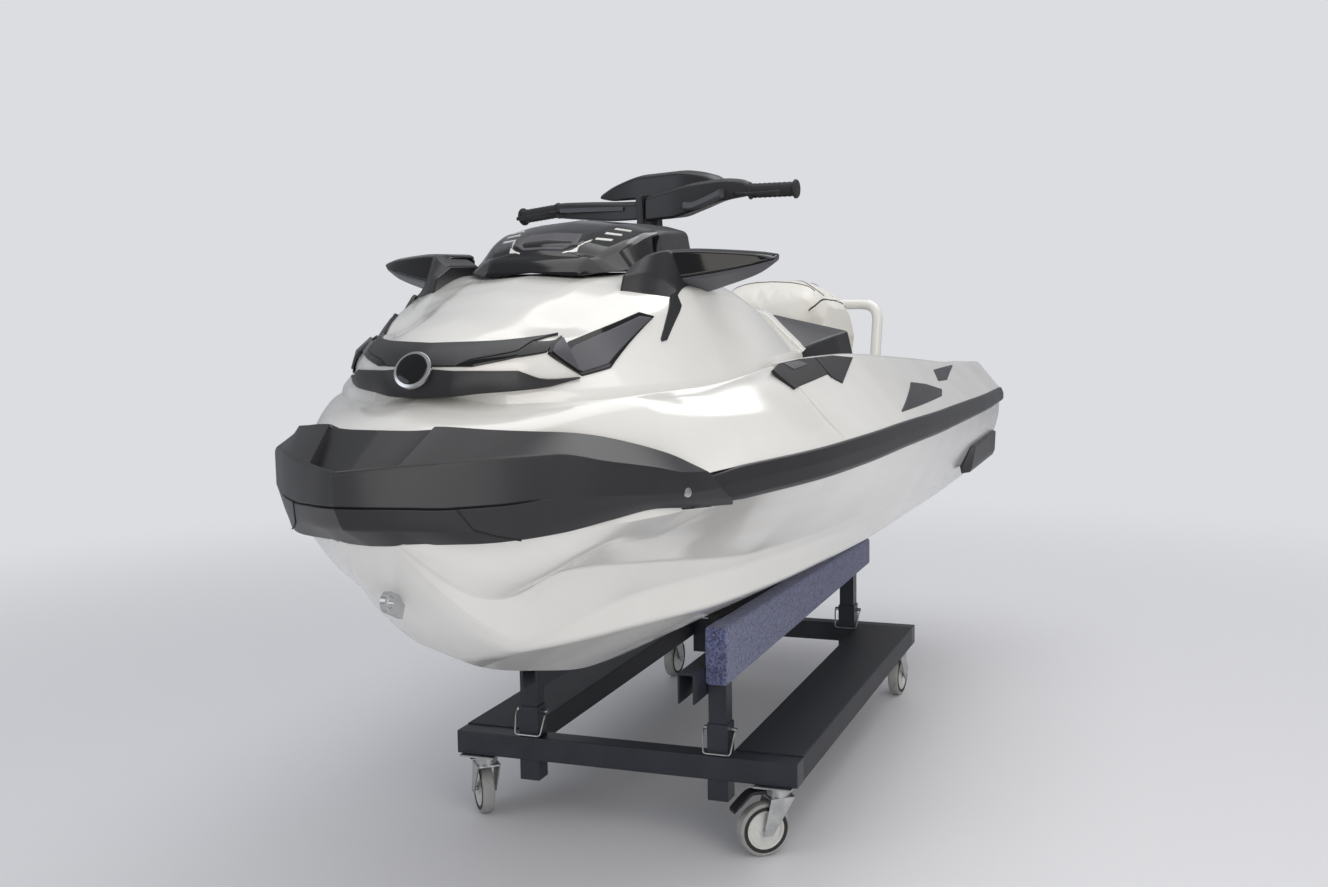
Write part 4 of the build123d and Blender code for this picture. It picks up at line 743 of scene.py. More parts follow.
# %% Bow bumper
BUMPER = [  # place, deck line x y z, rim x y z, groove x y z, break x y z, bottom x y z
    (0, 1578, 0, 1092, 1720, 0, 1033, 1719, 0, 978, 1698, 0, 940, 1615, 0, 898),
    (0.5, 1576, 50, 1092, 1696, 36, 1035, 1696, 40, 975, 1678, 40, 938, 1606, 50, 898),
    (1, 1566, 100, 1094, 1660, 82, 1037, 1662, 85, 971, 1655, 80, 936, 1580, 95, 898),
    (2, 1520, 176, 1086, 1602, 154, 1039, 1605, 150, 965, 1592, 152, 928, 1550, 176, 899),
    (3, 1468, 226, 1079, 1548, 207, 1040, 1552, 206, 965, 1530, 208, 919, 1508, 222, 900),
    (4, 1402, 262, 1071, 1472, 269, 1040, 1478, 267, 968, 1462, 266, 920, 1446, 268, 903),
    (5, 1344, 292, 1060, 1389, 335, 1020, 1394, 331, 964, 1382, 326, 930, 1362, 324, 914),
    (6, 1284, 342, 1040, 1297, 384, 1000, 1304, 380, 955, 1296, 378, 936, 1276, 370, 922),
    (7, 1236, 394, 1016, 1240, 422, 985, 1238, 425, 950, 1222, 426, 930, 1204, 416, 916),
    (8, 1210, 428, 994, 1196, 446, 982, 1164, 459, 950, 1122, 468, 922, 1104, 462, 908),
]
TRAY_DEEP = (5.0, 26.0)      # at the deck line and at the rim
GROOVE_DEEP = 5.0


def bumper_half():
    """Sections along the path; the tray lowers the top near the centre, with a steep wall."""
    places = np.unique(np.concatenate([np.linspace(0, 8, 97), [0.94, 0.97, 1.0, 1.03]]))
    c = along(BUMPER, places).reshape(len(places), 5, 3)
    deck_line, rim, groove, lower, bottom = (c[:, i] for i in range(5))
    inner = (1 - smooth_step(places, 0.93, 1.0))[:, None]
    down, sink = (np.array([0, 0, deep]) * inner for deep in TRAY_DEEP)
    inside = rim + (deck_line - rim) * 0.1
    inward = np.stack([deck_line[:, 0] - 90, deck_line[:, 1] * 0.8, deck_line[:, 2] - 40], axis=1)
    inward_low = np.stack([bottom[:, 0] - 60, bottom[:, 1] * 0.8, bottom[:, 2] + 6], axis=1)
    start = (inward + inward_low) / 2
    cut_in = (GROOVE_DEEP * (1 - smooth_step(places, 3.3, 4.2)))[:, None]
    away = groove / np.linalg.norm(groove * [1, 1, 0], axis=1, keepdims=True) * [1, 1, 0]
    shift = np.array([0, 0, 2.2])
    ring = np.stack([start, inward - down, deck_line - down, inside - sink, rim + (deck_line - rim) * 0.05,
                     rim, groove + shift, groove - away * cut_in, groove - shift, lower, bottom,
                     inward_low, start], axis=1)
    return rounded(ring, np.array([4, 3, 1.5, 1.5, 6, 1.0, 0.8, 1.0, 12, 5, 4]), arc=5)[:, :-1]


port = bumper_half()
bumper = surface("bow_bumper_shell", across_centre(port), sharp=30)
dress(bumper, charcoal, "root", "satin_charcoal", "bow_bumper")
seam_places = np.array([2.05, 2.3, 2.6, 3.0])
rows = along(BUMPER, seam_places).reshape(4, 5, 3)
seam_path = np.array([rows[0, 2], rows[1, 3], (rows[2, 3] + rows[2, 4]) / 2, rows[3, 4]]) + [0.6, 0.6, 0]
bumper_seams = [tube("seam", seam_path * [1, side, 1], 1.4, 8) for side in (1, -1)]
dress(join("bumper_seams", *bumper_seams), trim_black, "root", "satin_charcoal")
screws = [round_plate("screw", (1243, side * 421, 950), (0.4, side * 0.92, 0.05), 9, 3.5, 1.2, 24)
          for side in (1, -1)]
dress(join("bumper_screws", *screws), stainless, "root", "stainless")

# %% [markdown]
# The cowl closes the storage bin. A gloss black moulding falls over a short ledge to the hood;
# behind it a satin dash carries a row of air slots, drawn as flat dark strips of painted shade. A grey
# hexagon and angular white stripes lie on the crown. All of it is on the lid and swings with it.

# %% Cowl
COWL = [  # x, under z, foot y z, shoulder y z, crown y z, centre z
    (505, 1343, 186, 1344, 170, 1430, 120, 1444, 1456),
    (640, 1343, 194, 1344, 172, 1430, 112, 1446, 1457),
    (740, 1343, 198, 1344, 168, 1424, 100, 1441, 1450),
    (800, 1343, 194, 1344, 160, 1411, 84, 1430, 1437),
    (856, 1343, 184, 1344, 146, 1395, 62, 1415, 1419),
    (903, 1343, 170, 1343, 128, 1377, 66, 1397, 1401),
    (914, 1343, 166, 1342, 124, 1372, 48, 1387, 1389),
    (933, 1342, 150, 1340, 112, 1370, 96, 1373, 1374),
    (941, 1342, 140, 1339, 110, 1366, 98, 1369, 1370),
    (971, 1341, 106, 1334, 104, 1337, 100, 1342, 1344),
]
GLOSS_REAR_X = 700


def cowl_rings(xs):
    """Cowl sections: underside, foot, shoulder, crown and centre."""
    c = along(COWL, xs).T
    corners = pairs((0, c[0]), (c[1], c[2]), (c[3], c[4]), (c[5], c[6]), (0, c[7]))
    return halves(xs, corners, np.array([3, 12, 9]), arc=6)


def cowl_top(y, x):
    """Top of the cowl at y and x, read across its shoulder, crown and centre."""
    y, x = np.broadcast_arrays(y, x)
    c = along(COWL, x.ravel()).reshape(*x.shape, 8)
    a = np.abs(y)
    inner = c[..., 7] + (c[..., 6] - c[..., 7]) * a / c[..., 5]
    outer = c[..., 6] + (c[..., 4] - c[..., 6]) * (a - c[..., 5]) / (c[..., 3] - c[..., 5])
    return np.stack([x, y, np.where(a < c[..., 5], inner, outer)], axis=-1)


gloss = surface("cowl_gloss_shell", cowl_rings(steps(GLOSS_REAR_X, 971, 9, 933, 914)), sharp=30)
dress(gloss, gloss_black, "storage_lid", "gloss_black", "storage_lid")
dash_rings = cowl_rings(steps(505, GLOSS_REAR_X - 1.5, 15)) - [0, 0, 1.2]
dress(surface("dash_shell", dash_rings), charcoal, "storage_lid", "satin_charcoal")
panel = strip("cowl_hexagon", cowl_top, [(-70, 900), (-58, 842), (58, 842), (70, 900)],
              [(-70, 902), (-44, 915), (44, 915), (70, 902)], 2, both=False, gap=10, sunk=2)
dress(panel, grey_panel, "storage_lid", "satin_charcoal")
STRIPES = [  # two lines of (y, x)
    ([(74, 903), (84, 868), (88, 860)], [(74, 907), (84, 880), (88, 872)]),
    ([(48, 921), (76, 904)], [(48, 924), (76, 913)]),
]
for y, x in ((92, 846), (99, 810), (106, 774)):
    STRIPES.append(([(y, x), (y + 32, x - 10)], [(y, x + 10), (y + 32, x)]))
stripes = [strip("stripe", cowl_top, upper, lower, 1.2, gap=6, soft=0.5, sunk=1.5)
           for upper, lower in STRIPES]
dress(join("cowl_stripes", *stripes), gelcoat, "storage_lid", "gelcoat_white")
# Each air slot is a flat dark strip on the dash: painted shade standing for the dark inside of an open
# slot.
slot_shade_strips = [strip("vent", cowl_top, [(y, 676), (y + 5, 672)], [(y, 700), (y + 5, 700)], 0.6, gap=4, soft=0.4,
               sunk=1, both=False) for y in range(-104, -15, 11)]
dress(join("dash_slot_painted_shade", *slot_shade_strips), trim_black, "storage_lid", "satin_charcoal")

# %% [markdown]
# Each mirror is a gloss shell over a grey underside, with its glass facing aft, and stands on a satin
# neck that runs down into the hood. A dark seam parts the hood from the side body below it.

# %% Mirrors and trim seam
MIRROR = [  # y, front x, back x, low z, top z, under z
    (236, 898, 760, 1322, 1379, 1304),
    (250, 894, 752, 1324, 1384, 1294),
    (300, 872, 744, 1331, 1386, 1296),
    (360, 842, 737, 1341, 1383, 1312),
    (420, 806, 730, 1354, 1378, 1334),
    (450, 782, 724, 1363, 1373, 1354),
]
shells, undersides, glasses = [], [], []
for y, front, back, low, top, under in MIRROR:
    shells.append([(front, y, low), (front - 8, y, top - 6), (front - 34, y, top), (back, y, top),
                   (back + 6, y, low + 6), (front - 20, y, low - 2)])
    undersides.append([(front - 5, y, low - 1.5), (back + 4, y, low + 8), (back + 8, y, under + 8),
                       (back + 44, y, under), (front - 12, y, low - 9)])
    glasses.append([(back - 1.5, y, low + 12), (back + 4, y, low + 12), (back + 4, y, top - 6),
                    (back - 1.5, y, top - 6)])
dress(housing("mirror_shells", shells, 5, 6, mirror=True), gloss_black, "root", "gloss_black", "mirrors")
dress(housing("mirror_undersides", undersides, 4, 4, mirror=True), grey_panel, "root", "satin_charcoal")
mirror_glass = shader_of("mirror_glass", Roughness=0.03, Metallic=1.0, Base_Color=tone("#c9cdd2"))[0]
dress(housing("mirror_glasses", glasses[:-1], 1.5, 1, mirror=True), mirror_glass, "root", "gloss_black")
NECK = [
    [(1008, 204, 1300), (990, 204, 1334), (930, 204, 1357), (800, 204, 1357), (790, 204, 1318)],
    [(986, 235, 1298), (966, 235, 1336), (926, 235, 1375), (790, 235, 1373), (775, 235, 1310)],
    [(960, 264, 1292), (926, 262, 1328), (894, 262, 1383), (776, 262, 1378), (762, 264, 1298)],
    [(934, 294, 1288), (906, 290, 1304), (872, 284, 1342), (770, 282, 1346), (758, 294, 1286)],
]
dress(housing("mirror_necks", NECK, 7, 4, mirror=True), charcoal, "root", "satin_charcoal")
seam_band = strip("trim_seam", hood_flank, [(928, 1300), (940, 1296), (1034, 1212)],
                  [(928, 1272), (940, 1262), (1018, 1209), (1034, 1207)], 2.5, gap=10, soft=1)
dress(seam_band, charcoal, "root", "satin_charcoal")

# %% [markdown]
# The handlebar stands on a tilted column and rests turned a little to starboard. Its pieces are
# drawn straight ahead and then turned about the column's axis, as one.

# %% Handlebar
STEER_BASE = np.array([346.0, 0.0, 1345.0])
STEER_TILT = math.radians(20)
STEER_REST = math.radians(-9)


def turned(piece):
    """Turns a piece's mesh about the steering axis to its rest: R = c + s K + (1 - c) a a."""
    a = np.array([-math.sin(STEER_TILT), 0.0, math.cos(STEER_TILT)])
    skew = np.array([[0, -a[2], a[1]], [a[2], 0, -a[0]], [-a[1], a[0], 0]])
    cosine = math.cos(STEER_REST)
    turn = cosine * np.eye(3) + math.sin(STEER_REST) * skew + (1 - cosine) * np.outer(a, a)
    count = len(piece.data.vertices)
    points = np.empty(count * 3)
    piece.data.vertices.foreach_get("co", points)
    points = (points.reshape(-1, 3) / MM - STEER_BASE) @ turn.T + STEER_BASE
    piece.data.vertices.foreach_set("co", (points * MM).ravel())
    piece.data.update()
    return piece


def bar_section(y, x, half, low, high):
    """Five corners of the bar's shell: the front leans back, the top is highest ahead of the middle."""
    return [(x - half, y, low + 6), (x + half, y, low), (x + half * 0.9, y, high - 8),
            (x + half * 0.3, y, high), (x - half, y, high - 4)]


# Rows of the three tables: y, x, half width, low z, high z.
PORT_ARM = [(8, 282, 52, 1462, 1524), (70, 286, 46, 1462, 1534), (130, 286, 38, 1474, 1544),
            (200, 282, 30, 1492, 1547), (252, 279, 23, 1497, 1540), (268, 278, 20, 1499, 1532)]
STBD_ARM = [(-8, 290, 44, 1466, 1512), (-70, 290, 42, 1468, 1516), (-160, 286, 34, 1478, 1524),
            (-250, 279, 24, 1490, 1530), (-268, 278, 20, 1494, 1530)]
PAD = [(-165, 214, 34, 1532, 1548), (-110, 214, 48, 1522, 1568), (-30, 216, 56, 1520, 1582),
       (60, 216, 56, 1520, 1582), (125, 214, 46, 1526, 1572), (165, 214, 32, 1534, 1552)]
arms = [turned(housing("arm", [bar_section(*row) for row in table], 7, 4))
        for table in (PORT_ARM, STBD_ARM, PAD)]
plate = [[(338, 4, z), (338, -12, z), (258, -20, z), (258, 16, z)] for z in (1416, 1460, 1524)]
arms.append(turned(housing("plate", plate, 3, 3)))
dress(join("handlebar_shell", *arms), charcoal, "steering", "satin_charcoal", "handlebar")
slot_face = turned(slab("bar_slot", [(-92, -5), (92, -5), (92, 5), (-92, 5)], (330.5, -142, 1502),
                        (0.03, 1, -0.06), (0, 0.06, 1), 2.0))
pod = turned(housing("pod", [[(308, y, low), (338, y, low + 3), (336, y, low + 19), (308, y, low + 22)]
                             for y, low in ((112, 1478), (132, 1476), (196, 1494), (212, 1500))], 4, 3))
dress(join("bar_controls", slot_face, pod), grey_panel, "steering", "satin_charcoal")
inner_end, outer_end = np.array([280.0, 262, 1512]), np.array([272.0, 384, 1506])
# The grip has an inner flange, ribs of two radii in turn, and an outer flange with a rounded end.
ribs = np.repeat(np.linspace(0.08, 0.88, 17), 2)
share = np.array([0, 0.03, 0.05, *ribs, 0.9, 0.93, 0.94, 0.97, 0.99, 1.0])
wave = np.where(np.arange(len(ribs)) % 4 < 2, 16.2, 17.4)
size = np.array([14, 20, 20, *wave, 17, 17, 22, 22, 20, 12])
route = inner_end + (outer_end - inner_end) * share[:, None]
grips = [turned(tube("grip", route * [1, side, 1], size, sides=32)) for side in (1, -1)]
dress(join("grip_sleeves", *grips), rubber, "steering", "grip_rubber", "grips")
LEVER = [(300, 236, 1506), (330, 262, 1502), (330, 330, 1498), (322, 362, 1498)]
levers = []
for side in (1, -1):
    lever = [[(x, side * y, z - 4), (x + 13, side * y, z - 4), (x + 12, side * y, z + 5),
              (x, side * y, z + 5)] for x, y, z in LEVER]
    levers.append(turned(housing("lever", lever, 3, 3)))
dress(join("bar_levers", *levers), trim_black, "steering", "satin_charcoal")

# %% [markdown]
# Along both sides runs a rub rail, a charcoal section with a bevelled top and foot. Dark insets and
# charcoal traction patches lie on the gunwale's flank. The knee panels close the hood's side bodies
# towards the footwells.

# %% Rub rails, gunwale insets and knee panels
def rail_sections(xs):
    """Rail sections, which grow slimmer where the rail runs in behind the bumper's end."""
    outer, low, high = rail_line(xs)
    slim = 6 * smooth_step(xs, 1060, 1150)
    brow = low + 0.6 * (high - low)
    inner, middle = outer - RAIL_WIDTH, (low + high) / 2
    corners = pairs((inner, middle), (inner, low + 3), (outer - 6, low + slim),
                    (outer - slim, low + 8 + slim), (outer - slim, brow),
                    (outer - 8 - slim, high + 1.5 - slim), (inner, high + 2 - slim), (inner, middle))
    ring = rounded(corners, np.array([2, 3, 3, 3, 4, 2]), 4)[:, :-1]
    x = np.broadcast_to(xs[:, None, None], (*ring.shape[:2], 1))
    return np.concatenate([x, ring], axis=2)


rail = rail_sections(steps(-1692, 1206, 28))
dress(both_sides("rub_rail_moulding", rail), charcoal, "root", "satin_charcoal", "rub_rail")


def gunwale(x, z):
    """Point of the gunwale's outer flank, on the line from the ridge to the rail's top."""
    x, z = np.broadcast_arrays(x, z)
    ridge = along(DECK, x.ravel())[:, :2].reshape(*x.shape, 2)
    outer, low, high = (v.reshape(x.shape) for v in rail_line(x.ravel()))
    share = (ridge[..., 1] - z) / (ridge[..., 1] - high)
    return np.stack([x, ridge[..., 0] + (outer - 14 - ridge[..., 0]) * share, z], axis=-1)


accent = strip("gunwale_accent", gunwale, [(405, 1141), (500, 1143), (620, 1140), (692, 1131)],
               [(405, 1103), (427, 1103), (655, 1089), (681, 1114), (692, 1129)], 2.5, gap=10)
dress(accent, trim_black, "root", "gloss_black")
side_inset = strip("gunwale_inset", gunwale, [(182, 1128), (300, 1139), (412, 1141)],
                   [(182, 1126), (376, 1080), (412, 1096)], 3.5, gap=10)
dress(side_inset, trim_black, "root", "satin_charcoal")
vent_frame = strip("gunwale_vents", gunwale, [(489, 1131), (514, 1139), (600, 1138)],
                   [(489, 1128), (577, 1123), (600, 1136)], 4, gap=6, soft=1.2)
dress(vent_frame, grey_panel, "root", "satin_charcoal")
PATCHES = [  # upper and lower line of (x, z)
    ([(-518, 999), (-371, 1024), (-205, 1041), (120, 996)], [(-518, 996), (-436, 986), (120, 993)]),
    ([(-1103, 1030), (-707, 1041), (-611, 1018)], [(-1103, 1026), (-755, 1008), (-611, 1015)]),
]
patches = [strip("patch", gunwale, upper, lower, 2.5) for upper, lower in PATCHES]
dress(join("gunwale_patches", *patches), charcoal, "root", "mat_foam")

KNEE = [
    [(352, 404, 1126), (352, 397, 1158), (352, 302, 1238), (352, 288, 1100)],
    [(300, 425, 1120), (300, 410, 1168), (300, 296, 1237), (300, 280, 1090)],
    [(200, 456, 1116), (200, 436, 1183), (200, 284, 1234), (200, 270, 1080)],
    [(124, 468, 1112), (124, 450, 1190), (124, 276, 1228), (124, 262, 1070)],
]
INNER_KNEE = [
    [(150, 222, 1030), (150, 326, 1080), (150, 300, 1222), (150, 222, 1216)],
    [(0, 214, 1030), (0, 316, 1060), (0, 292, 1210), (0, 214, 1202)],
    [(-300, 212, 1028), (-300, 288, 1046), (-300, 270, 1172), (-300, 212, 1164)],
    [(-578, 212, 1028), (-578, 262, 1034), (-578, 250, 1140), (-578, 212, 1134)],
]
outer_knee = housing("knee", KNEE, 6, 3, mirror=True, straight=True)
inner_knee = housing("knee", INNER_KNEE, 9, 5, mirror=True)
knee_panels = join("knee_panel_mouldings", outer_knee, inner_knee)
dress(knee_panels, charcoal, "root", "satin_charcoal", "knee_panels")
BEVEL = [[(362, y - 8, z - 6), (364, y + 4, z + 4), (332, y + 2, z + 9), (330, y - 8, z - 2)]
         for y, z in ((262, 1250), (300, 1240), (352, 1194), (399, 1150))]
dress(housing("hood_rear_bevel", BEVEL, 3, 2, mirror=True), gelcoat, "root", "gelcoat_white")

# %% [markdown]
# The seats are padded: a start shape a little smaller than the cushion is remeshed and blown up by
# Blender's cloth solver with pressure and no gravity, and no point may move further than a cap.
# Piping and sewn channels are laid on afterwards, by casting rays at the finished cushion.

# %% Seats
FRONT_SEAT = [  # x, half base, half top, top z
    (-636, 150, 110, 1120),
    (-612, 178, 140, 1152),
    (-420, 184, 146, 1158),
    (-180, 176, 134, 1166),
    (10, 148, 104, 1180),
    (74, 112, 74, 1178),
    (94, 76, 46, 1158),
]
REAR_SEAT = [
    (-1262, 60, 42, 1200),
    (-1240, 118, 90, 1234),
    (-1160, 168, 132, 1262),
    (-980, 186, 146, 1288),
    (-800, 190, 146, 1296),
    (-700, 188, 140, 1272),
    (-662, 172, 120, 1208),
]
SEAT_LOW = 1022


def seat_start(name, table):
    """Start shape: sections whose sides lean in from a flat base to a crowned top."""
    xs = stations(table, 16)
    base, top, high = along(table, xs).T
    corners = pairs((0 * xs, SEAT_LOW), (base, SEAT_LOW), (base + 3, SEAT_LOW + 56), (top, high - 12),
                    (0.5 * top, high - 1), (0, high))
    return surface(name, halves(xs, corners, np.array([12, 30, 40, 60]), arc=5))


def swell(piece, voxel_mm, pressure, cap_mm, frames=20):
    """Remesh, blow up with cloth pressure, clamp each point's way to the cap, then subdivide once."""
    remesh = piece.modifiers.new("remesh", "REMESH")
    remesh.mode = "VOXEL"
    remesh.voxel_size = voxel_mm * MM
    settle(piece)
    count = len(piece.data.vertices)
    rest, moved = np.empty(count * 3), np.empty(count * 3)
    piece.data.vertices.foreach_get("co", rest)
    cloth = piece.modifiers.new("padding", "CLOTH")
    cloth.settings.use_pressure = True
    cloth.settings.uniform_pressure_force = pressure
    cloth.settings.effector_weights.gravity = 0
    cloth.settings.quality = 5
    for frame_number in range(1, frames + 1):
        bpy.context.scene.frame_set(frame_number)
    evaluated = piece.evaluated_get(bpy.context.evaluated_depsgraph_get())
    evaluated.data.vertices.foreach_get("co", moved)
    piece.modifiers.clear()
    bpy.context.scene.frame_set(1)
    way = (moved - rest).reshape(-1, 3)
    length = np.linalg.norm(way, axis=1, keepdims=True)
    way *= np.minimum(1, cap_mm * MM / np.maximum(length, 1e-9))
    way[rest.reshape(-1, 3)[:, 2] < (SEAT_LOW + 3) * MM] = 0
    piece.data.vertices.foreach_set("co", rest + way.ravel())
    piece.data.update()
    finer = piece.modifiers.new("finer", "SUBSURF")
    finer.levels = finer.render_levels = 1
    settle(piece)
    print(piece.name, "largest way", round(float(length.max() / MM), 1), "mm")
    return piece


def laid(piece, points, direction, lift=0.0):
    """Each point moved along a direction onto a piece's surface, `lift` mm short of it."""
    bpy.context.view_layer.update()
    direction = Vector(direction).normalized()
    out = []
    for point in points:
        found, place, normal, _ = piece.ray_cast(Vector(point) * MM, direction)
        if found:
            out.append(np.array(place) / MM + np.array(normal) * lift)
    return out


def cushion(name, table, material, body, node):
    pad = seat_start(name, table)
    swell(pad, 7, 4, 14)
    pad.data.shade_smooth()
    dress(pad, material, body, "seat_vinyl", node)
    return pad


front_pad = cushion("front_seat_pad", FRONT_SEAT, vinyl_dark, "front_seat", "seat_front")
rear_pad = cushion("rear_seat_pad", REAR_SEAT, vinyl_white, "rear_seat", "seat_rear")
for pad, table, body in ((front_pad, FRONT_SEAT, "front_seat"), (rear_pad, REAR_SEAT, "rear_seat")):
    low_x, high_x = table[0][0] + 40, table[-1][0] - 30
    lines = []
    for side in (1, -1):
        xs = np.linspace(low_x, high_x, 60)
        top = along(table, xs)[:, 2]
        lines.append(laid(pad, np.stack([xs, 0 * xs + side * 420, top - 46], axis=1), (0, -side, 0), -0.4))
    for x in np.linspace(low_x + 90, high_x - 90, 4):
        reach = float(along(table, np.array([x]))[0, 1]) * 0.92
        ys = np.linspace(-reach, reach, 32)
        lines.append(laid(pad, np.stack([0 * ys + x, ys, 0 * ys + 1500], axis=1), (0, 0, -1), -0.6))
    piping = [tube("piping", line, 2.6, 8) for line in lines if len(line) > 4]
    colour = trim_black if body == "rear_seat" else vinyl_white
    dress(join(body + "_piping", *piping), colour, body, "seat_vinyl")

# %% [markdown]
# Behind the seat a white moulded loop gives the passenger a hold.

# %% Grab handle
loop = np.array([[(-1330, 205, 1036), (-1345, 205, 1090), (-1385, 205, 1222), (-1385, -205, 1222),
                  (-1345, -205, 1090), (-1330, -205, 1036)]], float)
handle_path = rounded(loop, np.array([20, 62, 62, 20]), 9)[0]
handle_piece = tube("grab_handle_loop", handle_path, 18, 20)
dress(handle_piece, gelcoat, "root", "gelcoat_white", "grab_handle")

# %% [markdown]
# The dolly is square tube, boards and carpeted bunks. Each bar and board is drawn with its edges
# broken, because a perfectly sharp edge catches no light. Wire loops keep the post pins in place.

# %% Dolly
DOLLY_FRONT_X, DOLLY_REAR_X, DOLLY_HALF = 541, -867, 432
POST_Y, BAR_LOW, BAR_HIGH = 240, 171, 228


def beam(name, low, high, radius=3.0, axis=0, end=1.5):
    """Bar between two corners, drawn along one axis, with its long edges and ends rounded."""
    low, high = np.array(low, float), np.array(high, float)
    a, b = [i for i in range(3) if i != axis]
    sections = []
    for place in (low[axis], high[axis]):
        section = np.empty((4, 3))
        section[:, axis] = place
        section[:, a] = [low[a], high[a], high[a], low[a]]
        section[:, b] = [low[b], low[b], high[b], high[b]]
        sections.append(section)
    return housing(name, sections, radius, end, gap=1, straight=True)


bars = [beam("bar", (rear, -DOLLY_HALF, BAR_LOW), (front, DOLLY_HALF, BAR_HIGH), axis=1)
        for rear, front in ((DOLLY_FRONT_X - 50, DOLLY_FRONT_X + 6), (DOLLY_REAR_X, DOLLY_REAR_X + 50))]
dress(join("dolly_crossbar_tubes", *bars), dolly_paint, "root", "dolly_paint", "dolly_crossbars")
boards = [beam("board", (DOLLY_REAR_X + 50, low_y, BAR_LOW), (DOLLY_FRONT_X - 50, high_y, BAR_HIGH + 3), 4)
          for low_y, high_y in ((266, DOLLY_HALF), (-DOLLY_HALF, -266))]
dress(join("dolly_boards", *boards), board_paint, "root", "painted_board", "dolly_planks")
covers = []
for side in (1, -1):
    sections = [[(x, side * 214, 395), (x, side * 266, 395), (x, side * 266, top), (x, side * 214, top)]
                for x, top in ((-972, 478), (547, 532))]
    covers.append(housing("cover", sections, 9, 8, gap=1, arc=6, straight=True))
dress(join("bunk_carpet_covers", *covers), carpet, "root", "bunk_carpet", "bunks")
bails = []
for x in (516, -774):
    for side in (1, -1):
        y, z = side * POST_Y, 286
        path = np.array([[(x, y - 40, z), (x + 14, y - 38, z - 6), (x + 34, y - 33, z - 52),
                          (x + 34, y + 33, z - 52), (x + 14, y + 38, z - 6), (x, y + 40, z)]], float)
        bails.append(tube("bail", rounded(path, np.array([6, 8, 8, 6]), 5)[0], 2.0, 8))
dress(join("pin_wire_loops", *bails), zinc, "root", "zinc_steel")

# %% [markdown]
# Wheels. A grey tread is bonded to a pale hub, with a dark ring between them on each face. Their
# centres and axles are read from the CAD treads, so they sit exactly in their forks.

# %% Wheels and brake pedals
def lathe(name, profile, centre, axis, sides=40):
    """Solid of revolution: closed profile of (radius, distance along the axis) points."""
    axis, circle = circle_about(axis, sides)
    profile = np.array(profile, float)
    grid = np.array(centre) + circle[:, None] * profile[None, :, :1] + axis * profile[None, :, 1:]
    return surface(name, grid, capped=False, sharp=30)


def wheel_frame(node):
    """Centre and axle of a wheel: the axle is the direction its points spread least along."""
    points = np.array([node.matrix_world @ v.co for v in node.data.vertices]) / MM
    spread = np.linalg.svd(points - points.mean(axis=0), full_matrices=False)[2]
    along_axes = points @ spread.T
    return (along_axes.max(axis=0) + along_axes.min(axis=0)) / 2 @ spread, spread[2]


TREAD = [(47, -14), (57, -15.4), (61.5, -13), (63.4, -9), (63.4, 9), (61.5, 13), (57, 15.4), (47, 14)]
RING = [(45.5, 15.2), (46, 15.9), (54, 15.9), (54.5, 15.2)]
HUB = [(6.5, -15.8), (15, -15.8), (17, -12), (38, -9), (42, -13.5), (46.6, -14.8), (46.6, 14.8), (42, 13.5),
       (38, 9), (17, 12), (15, 15.8), (6.5, 15.8)]
# Rows: reach from the swivel, low z, high z, half width.
PEDAL = [(34, 148, 158, 15), (66, 150, 158, 16), (98, 128, 136, 18), (116, 112, 119, 17)]
for corner in ("front_port", "front_stbd", "rear_port", "rear_stbd"):
    centre, axle = wheel_frame(nodes["tread_" + corner])
    body = "wheel_" + corner
    dress(lathe("tyre_" + corner, TREAD, centre, axle), tread_rubber, body, "grey_tread", "tread_" + corner)
    rings = [lathe("ring", [(r, side * a) for r, a in RING], centre, axle, 36) for side in (1, -1)]
    dress(join("tyre_rings_" + corner, *rings), rubber, body, "grip_rubber")
    dress(lathe("hub_" + corner, HUB, centre, axle), hub_plastic, body, "hub_white", "wheel_hub_" + corner)
    if corner.startswith("front"):
        swivel = np.array([DOLLY_FRONT_X - 36, math.copysign(DOLLY_HALF - 57, centre[1]), 0])
        trail = (centre - swivel) * [1, 1, 0]
        trail /= np.linalg.norm(trail)
        across = np.array([-trail[1], trail[0], 0])
        pedal = []
        for reach, low, high, half in PEDAL:
            spot = swivel + trail * reach
            pedal.append([spot - across * half + [0, 0, low], spot + across * half + [0, 0, low],
                          spot + across * half + [0, 0, high], spot - across * half + [0, 0, high]])
        dress(housing("brake_pedal_" + corner, pedal, 2.5, 2), trim_black, "caster_" + corner, "zinc_steel")

# %% [markdown]
# Behind the dash, on the lid's rear face, the rider sees the display in its frame.

# %% Display
FACING_AFT = (0, -1, 0), (0, 0, 1)
display_frame = slab("display_frame", [(-96, -44), (96, -44), (104, 0), (84, 44), (-84, 44), (-104, 0)],
                     (505, 0, 1398), *FACING_AFT, 7)
dress(display_frame, trim_black, "storage_lid", "satin_charcoal")
display_glass = slab("display_glass", [(-74, -34), (74, -34), (74, 34), (-74, 34)], (498.2, 0, 1398),
                     *FACING_AFT, 1.5)
dress(display_glass, gloss_black, "storage_lid", "gloss_black")

# %% [markdown]
# CAD nodes whose shape is already right only need their finish.

# %% Finishes on CAD nodes
FINISHES = [
    (charcoal, "console glovebox_lid sponsons ladder_brackets"),
    (trim_black, "intake_grate steering_column bunk_cores"),
    (foam, "footwell_mats platform_mat"),
    (aluminium, "jet_pump nozzle reverse_bucket ride_plate"),
    (stainless, "impeller boarding_ladder stern_eyes bow_eye lock_pins"),
    (engine_grey, "engine"),
    (dolly_paint, "post_sleeves bunk_posts channel_rails"),
    (zinc, "caster_plates fork_front_port fork_front_stbd fork_rear_port fork_rear_stbd"),
]
for material, names in FINISHES:
    for name in names.split():
        node = nodes[name]
        node.data.materials.clear()
        node.data.materials.append(material)
print("finished nodes:", sum(len(names.split()) for _, names in FINISHES))


